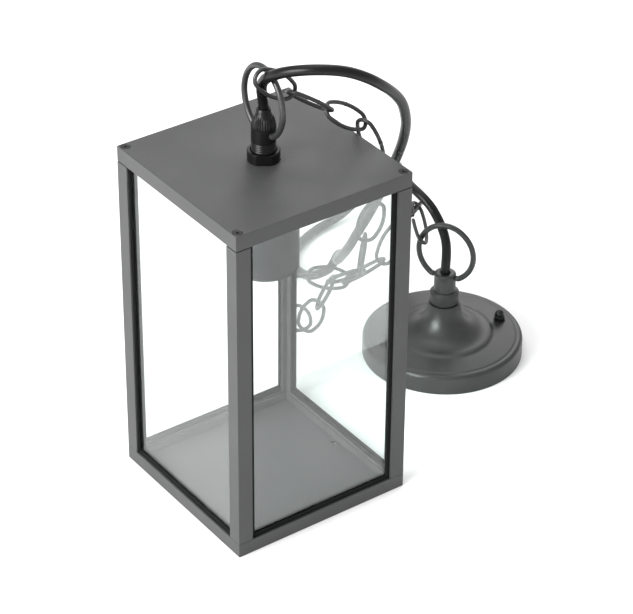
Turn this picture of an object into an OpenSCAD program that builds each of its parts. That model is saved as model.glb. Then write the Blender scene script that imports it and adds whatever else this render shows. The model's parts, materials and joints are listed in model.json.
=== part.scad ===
// Hanging lantern: a glazed square case that hangs by a chain and cord from a ceiling rose.
// Millimetres, +Z up, origin at the middle of the underside of the case.

/* [Case] */
// Outside width of the square case
case_w = 160; // [150:1:200]
// Height of the case from its underside to the top of the roof
case_h = 294; // [260:1:360]
// Width of each outer leg of a corner post
post_w = 13; // [12:0.5:18]
// Height of the base rails
rail_h = 12; // [12:0.5:18]
// Height of the roof's turned-down skirt
skirt_h = 13; // [11:0.5:18]
// Thickness of a glass pane
glass_t = 3; // [2:0.5:3]

/* [Lampholder] */
// Outside diameter of the holder cup
cup_d = 53; // [48:1:60]
// Height of the cup's open mouth above the underside of the case
cup_mouth_z = 201; // [190:1:215]
// Inside diameter of the lamp cap thread shell
lamp_thread_d = 26.2; // [26:0.1:26.6]

/* [Suspension] */
// Diameter of the cord
cord_d = 8.2; // [7:0.1:8.2]
// Diameter of the chain wire
wire_d = 3.2; // [2.8:0.1:3.2]
// Outside length of a chain link
link_l = 46.4; // [46:0.1:47]
// Outside width of a chain link
link_w = 22; // [21:0.5:23]
// Diameter of the wire of the bail and the rose loop
loop_wire_d = 4.8; // [4:0.2:4.8]

/* [Ceiling rose] */
// Outside diameter of the rose
rose_d = 138; // [130:1:144]
// Height of the rose's vertical rim
rose_rim_h = 14; // [12:1:16]
// Distance between the two fixing nuts of the rose
rose_fix_pitch = 106; // [100:1:110]

/* [Hidden] */
$fn = 64;
eps = 0.01;

// Case, worked out from the driving dimensions
half_w = case_w / 2;
frame_t = 2;
channel_w = glass_t + 3;
block_w = frame_t + channel_w + 1.5;
lip_w = post_w + 1;
plate_t = 2;
skirt_t = 1.5;
seam_gap = 0.4;
screw_inset = 5;
screw_r = 1.9;
screw_head_r = 4;
port_r = 2.1;
post_top = case_h - skirt_h - seam_gap;
block_top = case_h - plate_t;
base_screw_l = 14;
gasket_t = 1.5;
gasket_show = 3;
pane_z0 = rail_h - 3.5;
gasket_z0 = pane_z0 - gasket_t;
top_frame_z0 = case_h - skirt_h + 2;
top_frame_z1 = block_top - 0.5;
pane_z1 = top_frame_z0 + 4;
pane_inset = block_w + 0.5;
pan_t = 1.2;
pan_lip_h = 8;
drain_at = [66, -3];
drain_r = 2.4;

// How much thinner the side arcs of a bent wire are than its end arcs
side_step = 0.04;

// Gland on the roof
gland_bore_r = cord_d / 2 + 0.3;
collar_r = 12.7;
collar_h = 8.5;
collar_flat = 11.2;
gland_r = 9.6;
gland_thread_r = 10;
gland_z1 = case_h + 27.5;
cap_z1 = case_h + 44;
cap_top_r = 5.4;
locknut_af = 27;
locknut_h = 5;
bail_pivot_z = case_h + 24.2;
bail_half_w = 25;
bail_half_h = 28.5;
bail_bulge = 3;
loop_bulge = 2.4;
loop_foot = 12.2;
pin_r = 2;
pin_hole_r = 2.08;
pin_inner = 6.4;
pin_hole_inner = 6;

// Lampholder
cup_wall = 1.2;
core_r = 1.1;
tail_in = 12;
cup_r = cup_d / 2;
cup_z1 = block_top;
socket_r = 19.5;
socket_z0 = cup_mouth_z + 6;
socket_z1 = cup_mouth_z + 58;
shell_z1 = cup_mouth_z + 44;
shell_wall = 0.6;
bridge_w = 14;
bridge_t = 1.5;
bridge_z0 = socket_z1;
holder_screw_x = 14;
terminal_y = 11;

// Chain: the points at which neighbouring links hang in each other, first at the bail
chain_points = [[-13, -12, 374], [18, -11, 350], [50, -13, 326], [83, -14, 305],
    [96, -15, 268], [96, -16, 229], [95, -4, 192], [98, 7, 155], [94, 37, 130],
    [95, 58, 97], [94, 76, 63], [108, 112, 58], [124, 146, 66], [158, 155, 50],
    [191, 149, 35], [215, 129, 57], [236, 126, 90], [231, 103, 119], [213, 72, 108]];
// How far each link is rolled about its own length, from lying level
link_rolls = [90, 160, 50, 155, 140, 35, 110, 20, 130, 65, 160, 85, 160, 75, 170, 45, 25, 130];
link_end_r = 7;
hook_gap = 4;

// Cord: the middle of its route, from the top of the gland cap to the rose's neck
cord_route = [[0, 0, 338], [-6.5, -8, 364], [-7, -30, 382], [7, -51, 390], [29, -63, 387],
    [54, -65, 372], [88, -51, 340], [104, -39, 312], [113, -25, 285], [119, -9, 258],
    [124, 8, 231], [128, 24, 204], [132, 41, 178], [135, 59, 151], [140, 77, 126], [148, 98, 103],
    [160, 120, 83], [179, 142, 70], [193, 164, 53], [196, 181, 28], [191, 206, 10], [196, 234, 5],
    [217, 257, 5], [245, 270, 5], [276, 274, 8], [301, 270, 25], [315, 258, 45], [315, 242, 63],
    [305, 225, 75], [288, 206, 90], [269, 186, 106], [249, 163, 123], [233, 136, 138],
    [225, 106, 141], [227, 77, 131], [228, 59, 109], [226, 55, 79]];
cord_sides = 10;
rings_per_span = 2;

// Ceiling rose
rose_at = [226, 55, 0];
rose_turn = -16;
loop_turn = -59;
rose_r = rose_d / 2;
rose_wall = 1.2;
rim_round = 3.5;
bead_in = 5.5;
land_z = rose_rim_h + rim_round;
step_r = 42;
bell_z0 = land_z + 3.5;
bell_foot_r = 41;
bell_top_r = 13.7;
bell_z1 = 50;
bell_steps = 10;
rose_collar_r = 12.6;
rose_collar_z1 = 62;
neck_r = 9.35;
neck_z1 = 79;
neck_thread_r = 8;
neck_z0 = 38;
loop_pivot_z = 75.4;
loop_half_w = 24.6;
loop_half_h = 26.74;
strap_z0 = 5;
strap_t = 2;
strap_w = 16;
foot_x = 30;
block_h = 11;
cord_end_z = 32;
stud_r = 2.4;
nut_z0 = land_z + 1.75;

// ---------------------------------------------------------------- shared shapes

// A square ring, from one inset to another inside the case's outline
module square_ring(outer_inset, inner_inset, z0, z1) {
    outer_w = case_w - 2 * outer_inset;
    inner_w = case_w - 2 * inner_inset;
    translate([0, 0, z0]) linear_extrude(z1 - z0) difference() {
        square(outer_w, center = true);
        square(inner_w, center = true);
    }
}

// Repeats its children on the four sides of the case
module four_sides() {
    for (turn = [0:90:270]) rotate([0, 0, turn]) children();
}

// A rod from one height to another
module rod(r, z0, z1) {
    translate([0, 0, z0]) cylinder(r = r, h = z1 - z0);
}

// A hexagonal bar measured across its flats
module hex_bar(across_flats, z0, z1) {
    translate([0, 0, z0]) cylinder(d = across_flats / cos(30), h = z1 - z0, $fn = 6);
}

// An arc of round wire in the XY plane
module wire_arc(bend_r, wire_r, from_angle, to_angle) {
    rotate([0, 0, from_angle]) rotate_extrude(angle = to_angle - from_angle)
        translate([bend_r, 0]) circle(r = wire_r, $fn = 32);
}

// The side arcs of an oval: how far their centres lie off the middle
function oval_offset(reach, bulge) = (reach * reach - bulge * bulge) / (2 * bulge);

// An oval of round wire made of four arcs, long along X; the side arcs are a hair thinner than the
// end arcs and run a little way into them
module wire_oval(half_l, half_w, end_r, wire_r, foot = 0) {
    reach = half_l - end_r;
    offset_y = oval_offset(reach, half_w - end_r);
    side_r = half_w + offset_y;
    join = atan2(offset_y, reach);
    lap = 0.4 * 180 / (PI * side_r);
    translate([reach, 0, 0]) wire_arc(end_r, wire_r, -join, join);
    for (side = [0, 1]) mirror([0, side, 0]) {
        translate([-reach, 0, 0]) wire_arc(end_r, wire_r, 180 - join, 180 - foot);
        translate([0, -offset_y, 0]) wire_arc(side_r, wire_r - side_step, join - lap, 180 - join + lap);
    }
}

// ---------------------------------------------------------------- case

module base_frame() color("#4b4c4e") {
    foot_w = 11;
    difference() {
        union() {
            square_ring(0, frame_t, 0, rail_h);
            square_ring(0, foot_w, 0, frame_t);
            for (turn = [0:90:270]) rotate([0, 0, turn]) {
                translate([-half_w + lip_w, -half_w + frame_t + channel_w, frame_t - eps])
                    cube([case_w - 2 * lip_w, 1.5, rail_h - frame_t]);
                translate([-half_w + lip_w, -half_w + frame_t - eps, frame_t - eps])
                    cube([case_w - 2 * lip_w, channel_w + 2 * eps, gasket_z0 - frame_t + eps]);
            }
        }
        for (x = [-1, 1], y = [-1, 1])
            translate([x * (half_w - screw_inset), y * (half_w - screw_inset), 0]) {
                rod(screw_r, -1, frame_t + 1);
                translate([0, 0, -eps]) cylinder(r1 = screw_head_r - 0.5, r2 = screw_r, h = 1.6);
            }
    }
}

module base_pan() color("#57585a") {
    outer = case_w - 2 * block_w - 0.2;
    inner = outer - 2 * pan_t;
    difference() {
        translate([-outer / 2, -outer / 2, frame_t]) cube([outer, outer, pan_lip_h]);
        translate([-inner / 2, -inner / 2, frame_t + pan_t]) cube([inner, inner, pan_lip_h]);
        translate([drain_at[0], drain_at[1], 0]) rod(drain_r, 0, frame_t + pan_t + 1);
    }
}

// The post at the corner that looks towards -X and -Y
module corner_post() color("#4b4c4e") translate([-half_w, -half_w, 0]) {
    difference() {
        union() {
            for (flip = [0, 1]) mirror([flip, -flip, 0]) {
                translate([0, 0, rail_h]) cube([post_w, frame_t, post_top - rail_h]);
                translate([block_w - eps, frame_t + channel_w, frame_t])
                    cube([lip_w - block_w + eps, block_w - frame_t - channel_w, top_frame_z0 - frame_t]);
            }
            translate([frame_t - eps, frame_t - eps, rail_h])
                cube([block_w - frame_t + eps, block_w - frame_t + eps, post_top - rail_h]);
            translate([frame_t, frame_t, frame_t])
                cube([block_w - frame_t, block_w - frame_t, block_top - frame_t]);
        }
        translate([screw_inset, screw_inset, 0]) cylinder(r = port_r, h = case_h);
    }
}

module top_frame() color("#4b4c4e") {
    inner_inset = block_w + 2;
    square_ring(block_w, inner_inset, top_frame_z0, top_frame_z1);
    four_sides() difference() {
        translate([-half_w + block_w + 0.02, -half_w + frame_t, top_frame_z0])
            cube([case_w - 2 * block_w - 0.04, block_w - frame_t + eps, top_frame_z1 - top_frame_z0]);
        translate([-half_w, -half_w + frame_t + gasket_t - 0.1, top_frame_z0 - 1])
            cube([case_w, glass_t + 0.2, pane_z1 + 1.2 - top_frame_z0]);
    }
}

// The pane on the side that faces -Y
module glass_pane() color([0.85, 0.9, 0.9, 0.3])
    translate([-half_w + pane_inset, -half_w + frame_t + gasket_t, pane_z0])
        cube([case_w - 2 * pane_inset, glass_t, pane_z1 - pane_z0]);

module glazing_gaskets() color("#151515") four_sides() {
    side_show = post_w + gasket_show;
    translate([-half_w, -half_w + frame_t, 0]) difference() {
        translate([block_w, 0, gasket_z0])
            cube([case_w - 2 * block_w, channel_w, top_frame_z0 - gasket_z0]);
        translate([side_show, -1, rail_h + gasket_show])
            cube([case_w - 2 * side_show, channel_w + 2, case_h]);
        translate([pane_inset, gasket_t, pane_z0])
            cube([case_w - 2 * pane_inset, glass_t, case_h]);
        translate([side_show - 1, -1, rail_h + gasket_show])
            cube([case_w - 2 * side_show + 2, 1, case_h]);
    }
}

module base_screws() color("#1a1a1a") for (x = [-1, 1], y = [-1, 1])
    translate([x * (half_w - screw_inset), y * (half_w - screw_inset), 0]) {
        cylinder(r1 = screw_head_r - 0.6, r2 = screw_r - 0.1, h = 1.6);
        rod(screw_r - 0.1, 0.8, base_screw_l);
    }

module roof_tray() color("#4f5052") {
    difference() {
        union() {
            translate([-half_w, -half_w, block_top]) cube([case_w, case_w, plate_t]);
            square_ring(0, skirt_t, case_h - skirt_h, case_h - eps);
        }
        rod(gland_thread_r + 0.2, block_top - 1, case_h + 1);
        for (x = [-1, 1], y = [-1, 1])
            translate([x * (half_w - screw_inset), y * (half_w - screw_inset), 0]) {
                rod(port_r, block_top - 1, case_h + 1);
                translate([0, 0, case_h - screw_head_r + port_r])
                    cylinder(r1 = port_r, r2 = screw_head_r + 0.1, h = screw_head_r - port_r + 0.1);
            }
    }
}

module roof_screws() color("#1a1a1a") {
    recess = 0.15;
    head_r = screw_head_r - 0.3;
    for (x = [-1, 1], y = [-1, 1])
        translate([x * (half_w - screw_inset), y * (half_w - screw_inset), 0]) difference() {
            union() {
                rod(screw_r, case_h - 18, case_h - recess - 1);
                translate([0, 0, case_h - recess - head_r + screw_r])
                    cylinder(r1 = screw_r, r2 = head_r, h = head_r - screw_r);
            }
            for (turn = [0, 90]) rotate([0, 0, turn])
                translate([-2.2, -0.5, case_h - 1.4]) cube([4.4, 1, 2]);
        }
}

// ---------------------------------------------------------------- gland and bail

module gland_collar() color("#121212") difference() {
    rod(collar_r, case_h, case_h + collar_h);
    rod(gland_r + 0.05, case_h - 1, case_h + collar_h + 1);
    for (turn = [55, 235]) rotate([0, 0, turn])
        translate([collar_flat, -collar_r, case_h - 1]) cube([collar_r, 2 * collar_r, collar_h + 2]);
}

module gland_body() color("#161616") difference() {
    union() {
        rod(gland_r, case_h - 1, gland_z1);
        rod(gland_thread_r - 0.1, case_h - 10, case_h);
    }
    rod(gland_bore_r, case_h - 11, gland_z1 + 1);
    rod(gland_bore_r + 2, gland_z1 - 3, gland_z1 + 1);
    for (side = [90, -90]) rotate([0, 0, side]) translate([0, 0, bail_pivot_z])
        rotate([0, 90, 0]) rod(pin_hole_r, pin_hole_inner, gland_r + 2);
}

module gland_cap() color("#141414") {
    shoulder_z = gland_z1 + 1.5;
    neck_z = cap_z1 - 4;
    difference() {
        union() {
            rod(gland_r, gland_z1, shoulder_z);
            translate([0, 0, shoulder_z])
                cylinder(r1 = gland_r - 0.3, r2 = cap_top_r + 1, h = neck_z - shoulder_z);
            translate([0, 0, neck_z]) cylinder(r1 = cap_top_r + 1, r2 = cap_top_r, h = 4);
        }
        rod(gland_bore_r, gland_z1 - 1, cap_z1 + 1);
        rod(gland_bore_r + 2, gland_z1 - 1, gland_z1 + 8);
    }
}

module gland_seal() color("#222222") difference() {
    rod(gland_bore_r + 1.9, gland_z1 - 3, gland_z1 + 7.8);
    rod(cord_d / 2 + 0.05, gland_z1 - 4, gland_z1 + 9);
}

module gland_locknut() color("#181818") difference() {
    hex_bar(locknut_af, case_h - plate_t - cup_wall - locknut_h, case_h - plate_t - cup_wall);
    rod(gland_thread_r - 0.08, case_h - 12, case_h);
}

// A loop of wire in the YZ plane whose two turned-in ends are its hinge pins
module hanging_loop(half_w, half_h, bulge, pivot_z) {
    wire_r = loop_wire_d / 2;
    end_r = half_w - bulge;
    foot = asin(loop_foot / end_r);
    middle_z = pivot_z + half_h - end_r + end_r * cos(foot);
    translate([0, 0, middle_z]) rotate([0, -90, 0])
        wire_oval(half_h, half_w, end_r, wire_r, foot);
    for (side = [1, -1]) translate([0, side * loop_foot, pivot_z]) {
        sphere(r = wire_r + 0.1);
        rotate([side * 90, 0, 0]) rod(pin_r, 0, loop_foot - pin_inner);
    }
}

module lantern_bail() color("#47484a") hanging_loop(bail_half_w, bail_half_h, bail_bulge, bail_pivot_z);

// ---------------------------------------------------------------- lampholder

module holder_cup() color("#56575a") difference() {
    rod(cup_r, cup_mouth_z, cup_z1);
    rod(cup_r - cup_wall, cup_mouth_z - 1, cup_z1 - cup_wall);
    rod(gland_thread_r + 0.1, cup_z1 - 3, cup_z1 + 1);
}

module holder_bridge() color("silver") difference() {
    intersection() {
        translate([-cup_r, -bridge_w / 2, bridge_z0]) cube([2 * cup_r, bridge_w, bridge_t]);
        rod(cup_r - cup_wall - 0.1, bridge_z0 - 1, bridge_z0 + bridge_t + 1);
    }
    rod(4.5, bridge_z0 - 1, bridge_z0 + bridge_t + 1);
    for (x = [-1, 1]) translate([x * holder_screw_x, 0, 0])
        rod(1.6, bridge_z0 - 1, bridge_z0 + bridge_t + 1);
}

module holder_screws() color("silver") for (x = [-1, 1]) translate([x * holder_screw_x, 0, 0]) {
    rod(1.45, bridge_z0 - 8, bridge_z0 + bridge_t + eps);
    rod(2.9, bridge_z0 + bridge_t, bridge_z0 + bridge_t + 1.8);
}

module lamp_socket() color("#d9d6cc") difference() {
    rod(socket_r, socket_z0, socket_z1);
    rod(lamp_thread_d / 2 + shell_wall + 0.1, socket_z0 - 1, shell_z1);
    for (x = [-1, 1]) translate([x * holder_screw_x, 0, 0]) rod(1.5, bridge_z0 - 9, socket_z1 + 1);
}

module thread_shell() color("#c8a14a") difference() {
    rod(lamp_thread_d / 2 + shell_wall, socket_z0 + 3, shell_z1 - 2);
    rod(lamp_thread_d / 2, socket_z0 + 2, shell_z1 - 1);
}

module centre_contact() color("#c8a14a") {
    translate([-4, -2.5, shell_z1 - 0.8]) cube([8, 5, 0.8]);
    rod(2.2, shell_z1 - 3, shell_z1 - 0.8 + eps);
}

module socket_terminals() color("#c8a14a") for (y = [-1, 1]) translate([0, y * terminal_y, socket_z1])
    difference() {
        translate([-4, -2.6, 0]) cube([8, 5.2, 6]);
        translate([0, 0, 3]) rod(1.2, -8, 8);
    }

// The cores of the flex, from the gland down to the holder's two terminals and its earthed bridge
module flex_cores() {
    top_z = case_h - tail_in;
    to_terminal = [[2, 0, top_z], [2.2, 0, top_z - 5], [6, 0, top_z - 10], [10.4, 0, top_z - 14],
        [terminal_y, 0, socket_z1 + 2]];
    to_bridge = [[2, 0, top_z], [2.2, 0, top_z - 5], [5.5, 0, top_z - 12], [7.6, 0, top_z - 17],
        [8, 0, bridge_z0 + bridge_t]];
    color("#6b4423") rotate([0, 0, 90]) core(to_terminal);
    color("#2f5d9b") rotate([0, 0, -90]) core(to_terminal);
    color("#7f9a32") rotate([0, 0, 180]) core(to_bridge);
}

// The sheathed length of cord inside the gland
module cord_tail() color("#101010") rod(cord_d / 2, case_h - tail_in, cap_z1);

// ---------------------------------------------------------------- cord

function unit(v) = v / norm(v);

// Running length along the route up to each of its points
function arc_marks(p, i = 0, sum = 0, out = []) = i == len(p) ? out :
    let (next = i == 0 ? 0 : sum + norm(p[i] - p[i - 1])) arc_marks(p, i + 1, next, concat(out, [next]));

// Direction of the route at each of its points; both ends stand upright
function route_slopes(p, s, start) = [for (i = [0:len(p) - 1])
    i == 0 ? [0, 0, start] : i == len(p) - 1 ? [0, 0, -1] :
    (p[i + 1] - p[i - 1]) / (s[i + 1] - s[i - 1])];

function blend(a, b, ma, mb, span, t) =
    (2 * t * t * t - 3 * t * t + 1) * a + (t * t * t - 2 * t * t + t) * span * ma
    + (3 * t * t - 2 * t * t * t) * b + (t * t * t - t * t) * span * mb;

function smooth_route(p, steps, start) = let (s = arc_marks(p), m = route_slopes(p, s, start))
    [for (i = [0:len(p) - 2], k = [0:steps - 1])
        blend(p[i], p[i + 1], m[i], m[i + 1], s[i + 1] - s[i], k / steps), p[len(p) - 1]];

function headings(p, start) = [for (i = [0:len(p) - 1])
    i == 0 ? [0, 0, start] : i == len(p) - 1 ? [0, 0, -1] : unit(p[i + 1] - p[i - 1])];

// Carries a sideways direction along the route without twisting it
function sideways(h, i = 0, out = []) = i == len(h) ? out :
    let (last = i == 0 ? [1, 0, 0] : out[i - 1])
    sideways(h, i + 1, concat(out, [unit(last - (last * h[i]) * h[i])]));

// A tube along a smooth route that starts upwards (1) or downwards (-1) and ends downwards
module tube_along(route, steps, r, sides, start) {
    points = smooth_route(route, steps, start);
    h = headings(points, start);
    u = sideways(h);
    rings = len(points);
    verts = [for (i = [0:rings - 1], k = [0:sides - 1])
        points[i] + r * (cos(360 * k / sides) * u[i] + sin(360 * k / sides) * cross(h[i], u[i]))];
    walls = [for (i = [0:rings - 2], k = [0:sides - 1])
        let (n = (k + 1) % sides, a = i * sides + k, b = i * sides + n, c = b + sides, d = a + sides)
        each [[a, d, c], [a, c, b]]];
    foot = [for (k = [0:sides - 1]) k];
    head = [for (k = [sides - 1:-1:0]) (rings - 1) * sides + k];
    polyhedron(points = verts, faces = concat([foot, head], walls));
}

module core(route) tube_along(route, 3, core_r, 8, -1);

module supply_cord() color("#101010") tube_along(cord_route, rings_per_span, cord_d / 2, cord_sides, 1);

// ---------------------------------------------------------------- chain

// Puts a link, long along X and level, between two points of the chain and rolls it
module place_link(i) {
    from = chain_points[i];
    to = chain_points[i + 1];
    along = unit(to - from);
    level = unit([-along[1], along[0], 0]);
    up = cross(along, level);
    across = level * cos(link_rolls[i]) + up * sin(link_rolls[i]);
    normal = cross(along, across);
    middle = (from + to) / 2;
    multmatrix([[along[0], across[0], normal[0], middle[0]],
        [along[1], across[1], normal[1], middle[1]],
        [along[2], across[2], normal[2], middle[2]],
        [0, 0, 0, 1]]) children();
}

module oval_link() wire_oval((link_l - wire_d) / 2, (link_w - wire_d) / 2, link_end_r, wire_d / 2);

module chain_link(i) color("#3f4042") place_link(i) oval_link();

// The last link has a gap in one side, so that it can be hooked on and off
module hook_link() color("#3f4042") place_link(len(chain_points) - 2) difference() {
    oval_link();
    translate([-hook_gap / 2, link_w / 2 - wire_d - 1, -wire_d]) cube([hook_gap, wire_d + 2, 2 * wire_d]);
}

// ---------------------------------------------------------------- ceiling rose

module at_rose() translate(rose_at) rotate([0, 0, rose_turn]) children();

// Outline of the rose's outer skin from the rim to the crown, moved in by a wall thickness
function rose_skin(t) = concat(
    [[rose_r - t, 0], [rose_r - t, rose_rim_h]],
    [for (a = [15:15:90])
        [rose_r - rim_round + (rim_round - t) * cos(a), rose_rim_h + (rim_round - t) * sin(a)]],
    [[rose_r - bead_in, land_z - t], [rose_r - bead_in - 1, land_z + 0.6 - t], [step_r + 1, land_z + 2 - t],
        [step_r, bell_z0 - t]],
    [for (i = [0:bell_steps]) let (a = 90 * i / bell_steps)
        [bell_foot_r - (bell_foot_r - bell_top_r) * sin(a) - t * sin(a),
            bell_z1 - (bell_z1 - bell_z0) * cos(a) - t * cos(a)]]);

module rose_canopy() color("#3a3b3d") at_rose() difference() {
    rotate_extrude($fn = 96) polygon(concat(rose_skin(0), [[0, bell_z1], [0, bell_z1 - rose_wall]],
        [for (i = [len(rose_skin(0)) - 1:-1:0]) rose_skin(rose_wall)[i]]));
    rod(neck_thread_r + 0.1, bell_z1 - 10, bell_z1 + 1);
    for (x = [-1, 1]) translate([x * rose_fix_pitch / 2, 0, 0]) rod(stud_r + 0.2, rose_rim_h, land_z + 5);
}

module rose_collar() color("#37383a") at_rose() difference() {
    union() {
        rod(rose_collar_r, bell_z1, rose_collar_z1 - 2);
        translate([0, 0, rose_collar_z1 - 2]) cylinder(r1 = rose_collar_r, r2 = rose_collar_r - 2, h = 2);
    }
    rod(neck_thread_r + 0.1, bell_z1 - 1, rose_collar_z1 + 1);
}

module rose_neck() color("#3a3b3d") at_rose() difference() {
    chamfer = 1.4;
    union() {
        rod(neck_thread_r, neck_z0, rose_collar_z1 + eps);
        rod(neck_r, rose_collar_z1, neck_z1 - chamfer);
        translate([0, 0, neck_z1 - chamfer]) cylinder(r1 = neck_r, r2 = neck_r - chamfer, h = chamfer);
    }
    rod(gland_bore_r, neck_z0 - 1, neck_z1 + 1);
    for (side = [90, -90]) rotate([0, 0, loop_turn - rose_turn + 90 + side]) translate([0, 0, loop_pivot_z])
        rotate([0, 90, 0]) rod(pin_hole_r, pin_hole_inner, neck_r + 2);
}

module rose_locknut() color("silver") at_rose() difference() {
    hex_bar(20, bell_z1 - rose_wall - 5, bell_z1 - rose_wall);
    rod(neck_thread_r + 0.02, bell_z1 - 10, bell_z1);
}

module rose_loop() color("#47484a") translate(rose_at) rotate([0, 0, loop_turn + 90]) {
    hanging_loop(loop_half_w, loop_half_h, loop_bulge, loop_pivot_z);
}

module rose_bracket() color("silver") at_rose() difference() {
    union() {
        translate([-rose_fix_pitch / 2 - 8, -strap_w / 2, strap_z0])
            cube([rose_fix_pitch + 16, strap_w, strap_t]);
        for (x = [-1, 1]) translate([x * foot_x, 0, 0]) rod(6, 0, strap_z0 + eps);
    }
    for (x = [-1, 1]) {
        translate([x * rose_fix_pitch / 2, 0, 0]) rod(stud_r + 0.02, strap_z0 - 1, strap_z0 + strap_t + 1);
        translate([x * foot_x, 0, 0]) rod(2.5, -1, strap_z0 + strap_t + 1);
    }
}

module rose_studs() color("silver") at_rose() for (x = [-1, 1]) translate([x * rose_fix_pitch / 2, 0, 0]) {
    rod(stud_r, strap_z0 - 1.5, nut_z0 + 4);
    rod(4, strap_z0 - 3.5, strap_z0 - 1.5 + eps);
}

module acorn_nuts() color("#161616") at_rose() for (x = [-1, 1]) translate([x * rose_fix_pitch / 2, 0, 0])
    difference() {
        dome_r = 3.9;
        union() {
            hex_bar(8.6, nut_z0, nut_z0 + 4);
            rod(dome_r, nut_z0 + 4 - eps, nut_z0 + 5.5);
            translate([0, 0, nut_z0 + 5.5]) difference() {
                sphere(r = dome_r);
                translate([-dome_r, -dome_r, -2 * dome_r]) cube([2 * dome_r, 2 * dome_r, 2 * dome_r]);
            }
        }
        rod(stud_r + 0.02, nut_z0 - 1, nut_z0 + 4.5);
    }

module terminal_block() color("#e6e4dc") at_rose() difference() {
    translate([-14, -6, strap_z0 + strap_t]) cube([28, 12, block_h]);
    for (x = [-9, 0, 9]) translate([x, 0, 0])
        rod(1.6, strap_z0 + strap_t + 5, strap_z0 + strap_t + block_h + 1);
}

// The sheathed end of the cord inside the rose
module cord_end() color("#101010") at_rose() rod(cord_d / 2, cord_end_z, neck_z1);

// The three cores of the flex, from the end of the sheath to the rose's terminal block
module rose_cores() at_rose() {
    mouth_z = strap_z0 + strap_t + block_h - 2;
    outer = [[2.6, 0, cord_end_z], [3, 0, cord_end_z - 3], [8.4, 0, mouth_z + 5], [9, 0, mouth_z]];
    color("#6b4423") core(outer);
    color("#2f5d9b") rotate([0, 0, 180]) core(outer);
    color("#7f9a32") rod(core_r, mouth_z, cord_end_z);
}

// ---------------------------------------------------------------- nodes

base_frame();
base_pan();
corner_post();  // post_front
rotate([0, 0, 90]) corner_post();  // post_right
rotate([0, 0, 180]) corner_post();  // post_back
rotate([0, 0, 270]) corner_post();  // post_left
top_frame();
glass_pane();  // pane_right_front
rotate([0, 0, 90]) glass_pane();  // pane_right_back
rotate([0, 0, 180]) glass_pane();  // pane_left_back
rotate([0, 0, 270]) glass_pane();  // pane_left_front
glazing_gaskets();
base_screws();
roof_tray();
roof_screws();
gland_collar();
gland_body();
gland_cap();
gland_seal();
gland_locknut();
holder_cup();
holder_bridge();
holder_screws();
lamp_socket();
thread_shell();
centre_contact();
socket_terminals();
flex_cores();
cord_tail();
supply_cord();
lantern_bail();
chain_link(0);  // link_01
chain_link(1);  // link_02
chain_link(2);  // link_03
chain_link(3);  // link_04
chain_link(4);  // link_05
chain_link(5);  // link_06
chain_link(6);  // link_07
chain_link(7);  // link_08
chain_link(8);  // link_09
chain_link(9);  // link_10
chain_link(10);  // link_11
chain_link(11);  // link_12
chain_link(12);  // link_13
chain_link(13);  // link_14
chain_link(14);  // link_15
chain_link(15);  // link_16
chain_link(16);  // link_17
hook_link();
rose_canopy();
rose_collar();
rose_neck();
rose_locknut();
rose_loop();
rose_bracket();
rose_studs();
acorn_nuts();
terminal_block();
cord_end();
rose_cores();
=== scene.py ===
"""Looks of a hanging lantern: glazed case, gland, bail, chain, cord and ceiling rose.

Everything is in metres, in the frame of the CAD model: the origin is the middle of the case's
underside, on the floor, and +Z is up. Sizes are written in millimetres times MM.
"""

import json
import logging
import math
from collections.abc import Callable, Iterable, Sequence
from dataclasses import dataclass, field
from enum import Enum

import bmesh
import bpy
from bmesh.types import BMesh, BMVert
from mathutils import Matrix, Vector


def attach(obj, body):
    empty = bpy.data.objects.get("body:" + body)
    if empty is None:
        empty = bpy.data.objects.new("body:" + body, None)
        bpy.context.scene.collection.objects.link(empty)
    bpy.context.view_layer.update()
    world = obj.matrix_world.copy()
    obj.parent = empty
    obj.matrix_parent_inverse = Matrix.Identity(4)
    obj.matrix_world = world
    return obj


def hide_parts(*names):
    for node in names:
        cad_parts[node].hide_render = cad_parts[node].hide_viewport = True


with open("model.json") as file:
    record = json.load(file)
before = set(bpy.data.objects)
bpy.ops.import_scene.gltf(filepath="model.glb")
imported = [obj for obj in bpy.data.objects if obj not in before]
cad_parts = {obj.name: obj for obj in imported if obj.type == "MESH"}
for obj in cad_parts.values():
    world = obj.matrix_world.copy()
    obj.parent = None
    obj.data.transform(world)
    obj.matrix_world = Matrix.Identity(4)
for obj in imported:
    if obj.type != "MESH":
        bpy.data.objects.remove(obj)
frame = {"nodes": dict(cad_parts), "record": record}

MM = 0.001
LOG = logging.getLogger("lantern")
Outline = Sequence[tuple[float, float]]


# ------------------------------------------------------------------ mesh tools


def finish_piece(bm: BMesh, name: str, sharp_deg: float = 32.0) -> bpy.types.Object:
    """Turn a bmesh into a shaded object at the origin.

    Args:
        bm: The finished mesh; it is freed.
        name: The piece's name.
        sharp_deg: Edges that turn more than this stay sharp.

    Returns:
        The new object.
    """
    bmesh.ops.remove_doubles(bm, verts=bm.verts, dist=1e-7)
    bmesh.ops.recalc_face_normals(bm, faces=bm.faces)
    for face in bm.faces:
        face.smooth = True
    mesh = bpy.data.meshes.new(name)
    bm.to_mesh(mesh)
    bm.free()
    mesh.set_sharp_from_angle(angle=math.radians(sharp_deg))
    piece = bpy.data.objects.new(name, mesh)
    bpy.context.scene.collection.objects.link(piece)
    return piece


def flatten_shading(piece: bpy.types.Object) -> bpy.types.Object:
    """Let the broad flat faces set the shading, so only rounded edges look round."""
    weigh = piece.modifiers.new("broad_faces", "WEIGHTED_NORMAL")
    weigh.mode, weigh.weight, weigh.keep_sharp = "FACE_AREA", 100, True
    return piece


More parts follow.
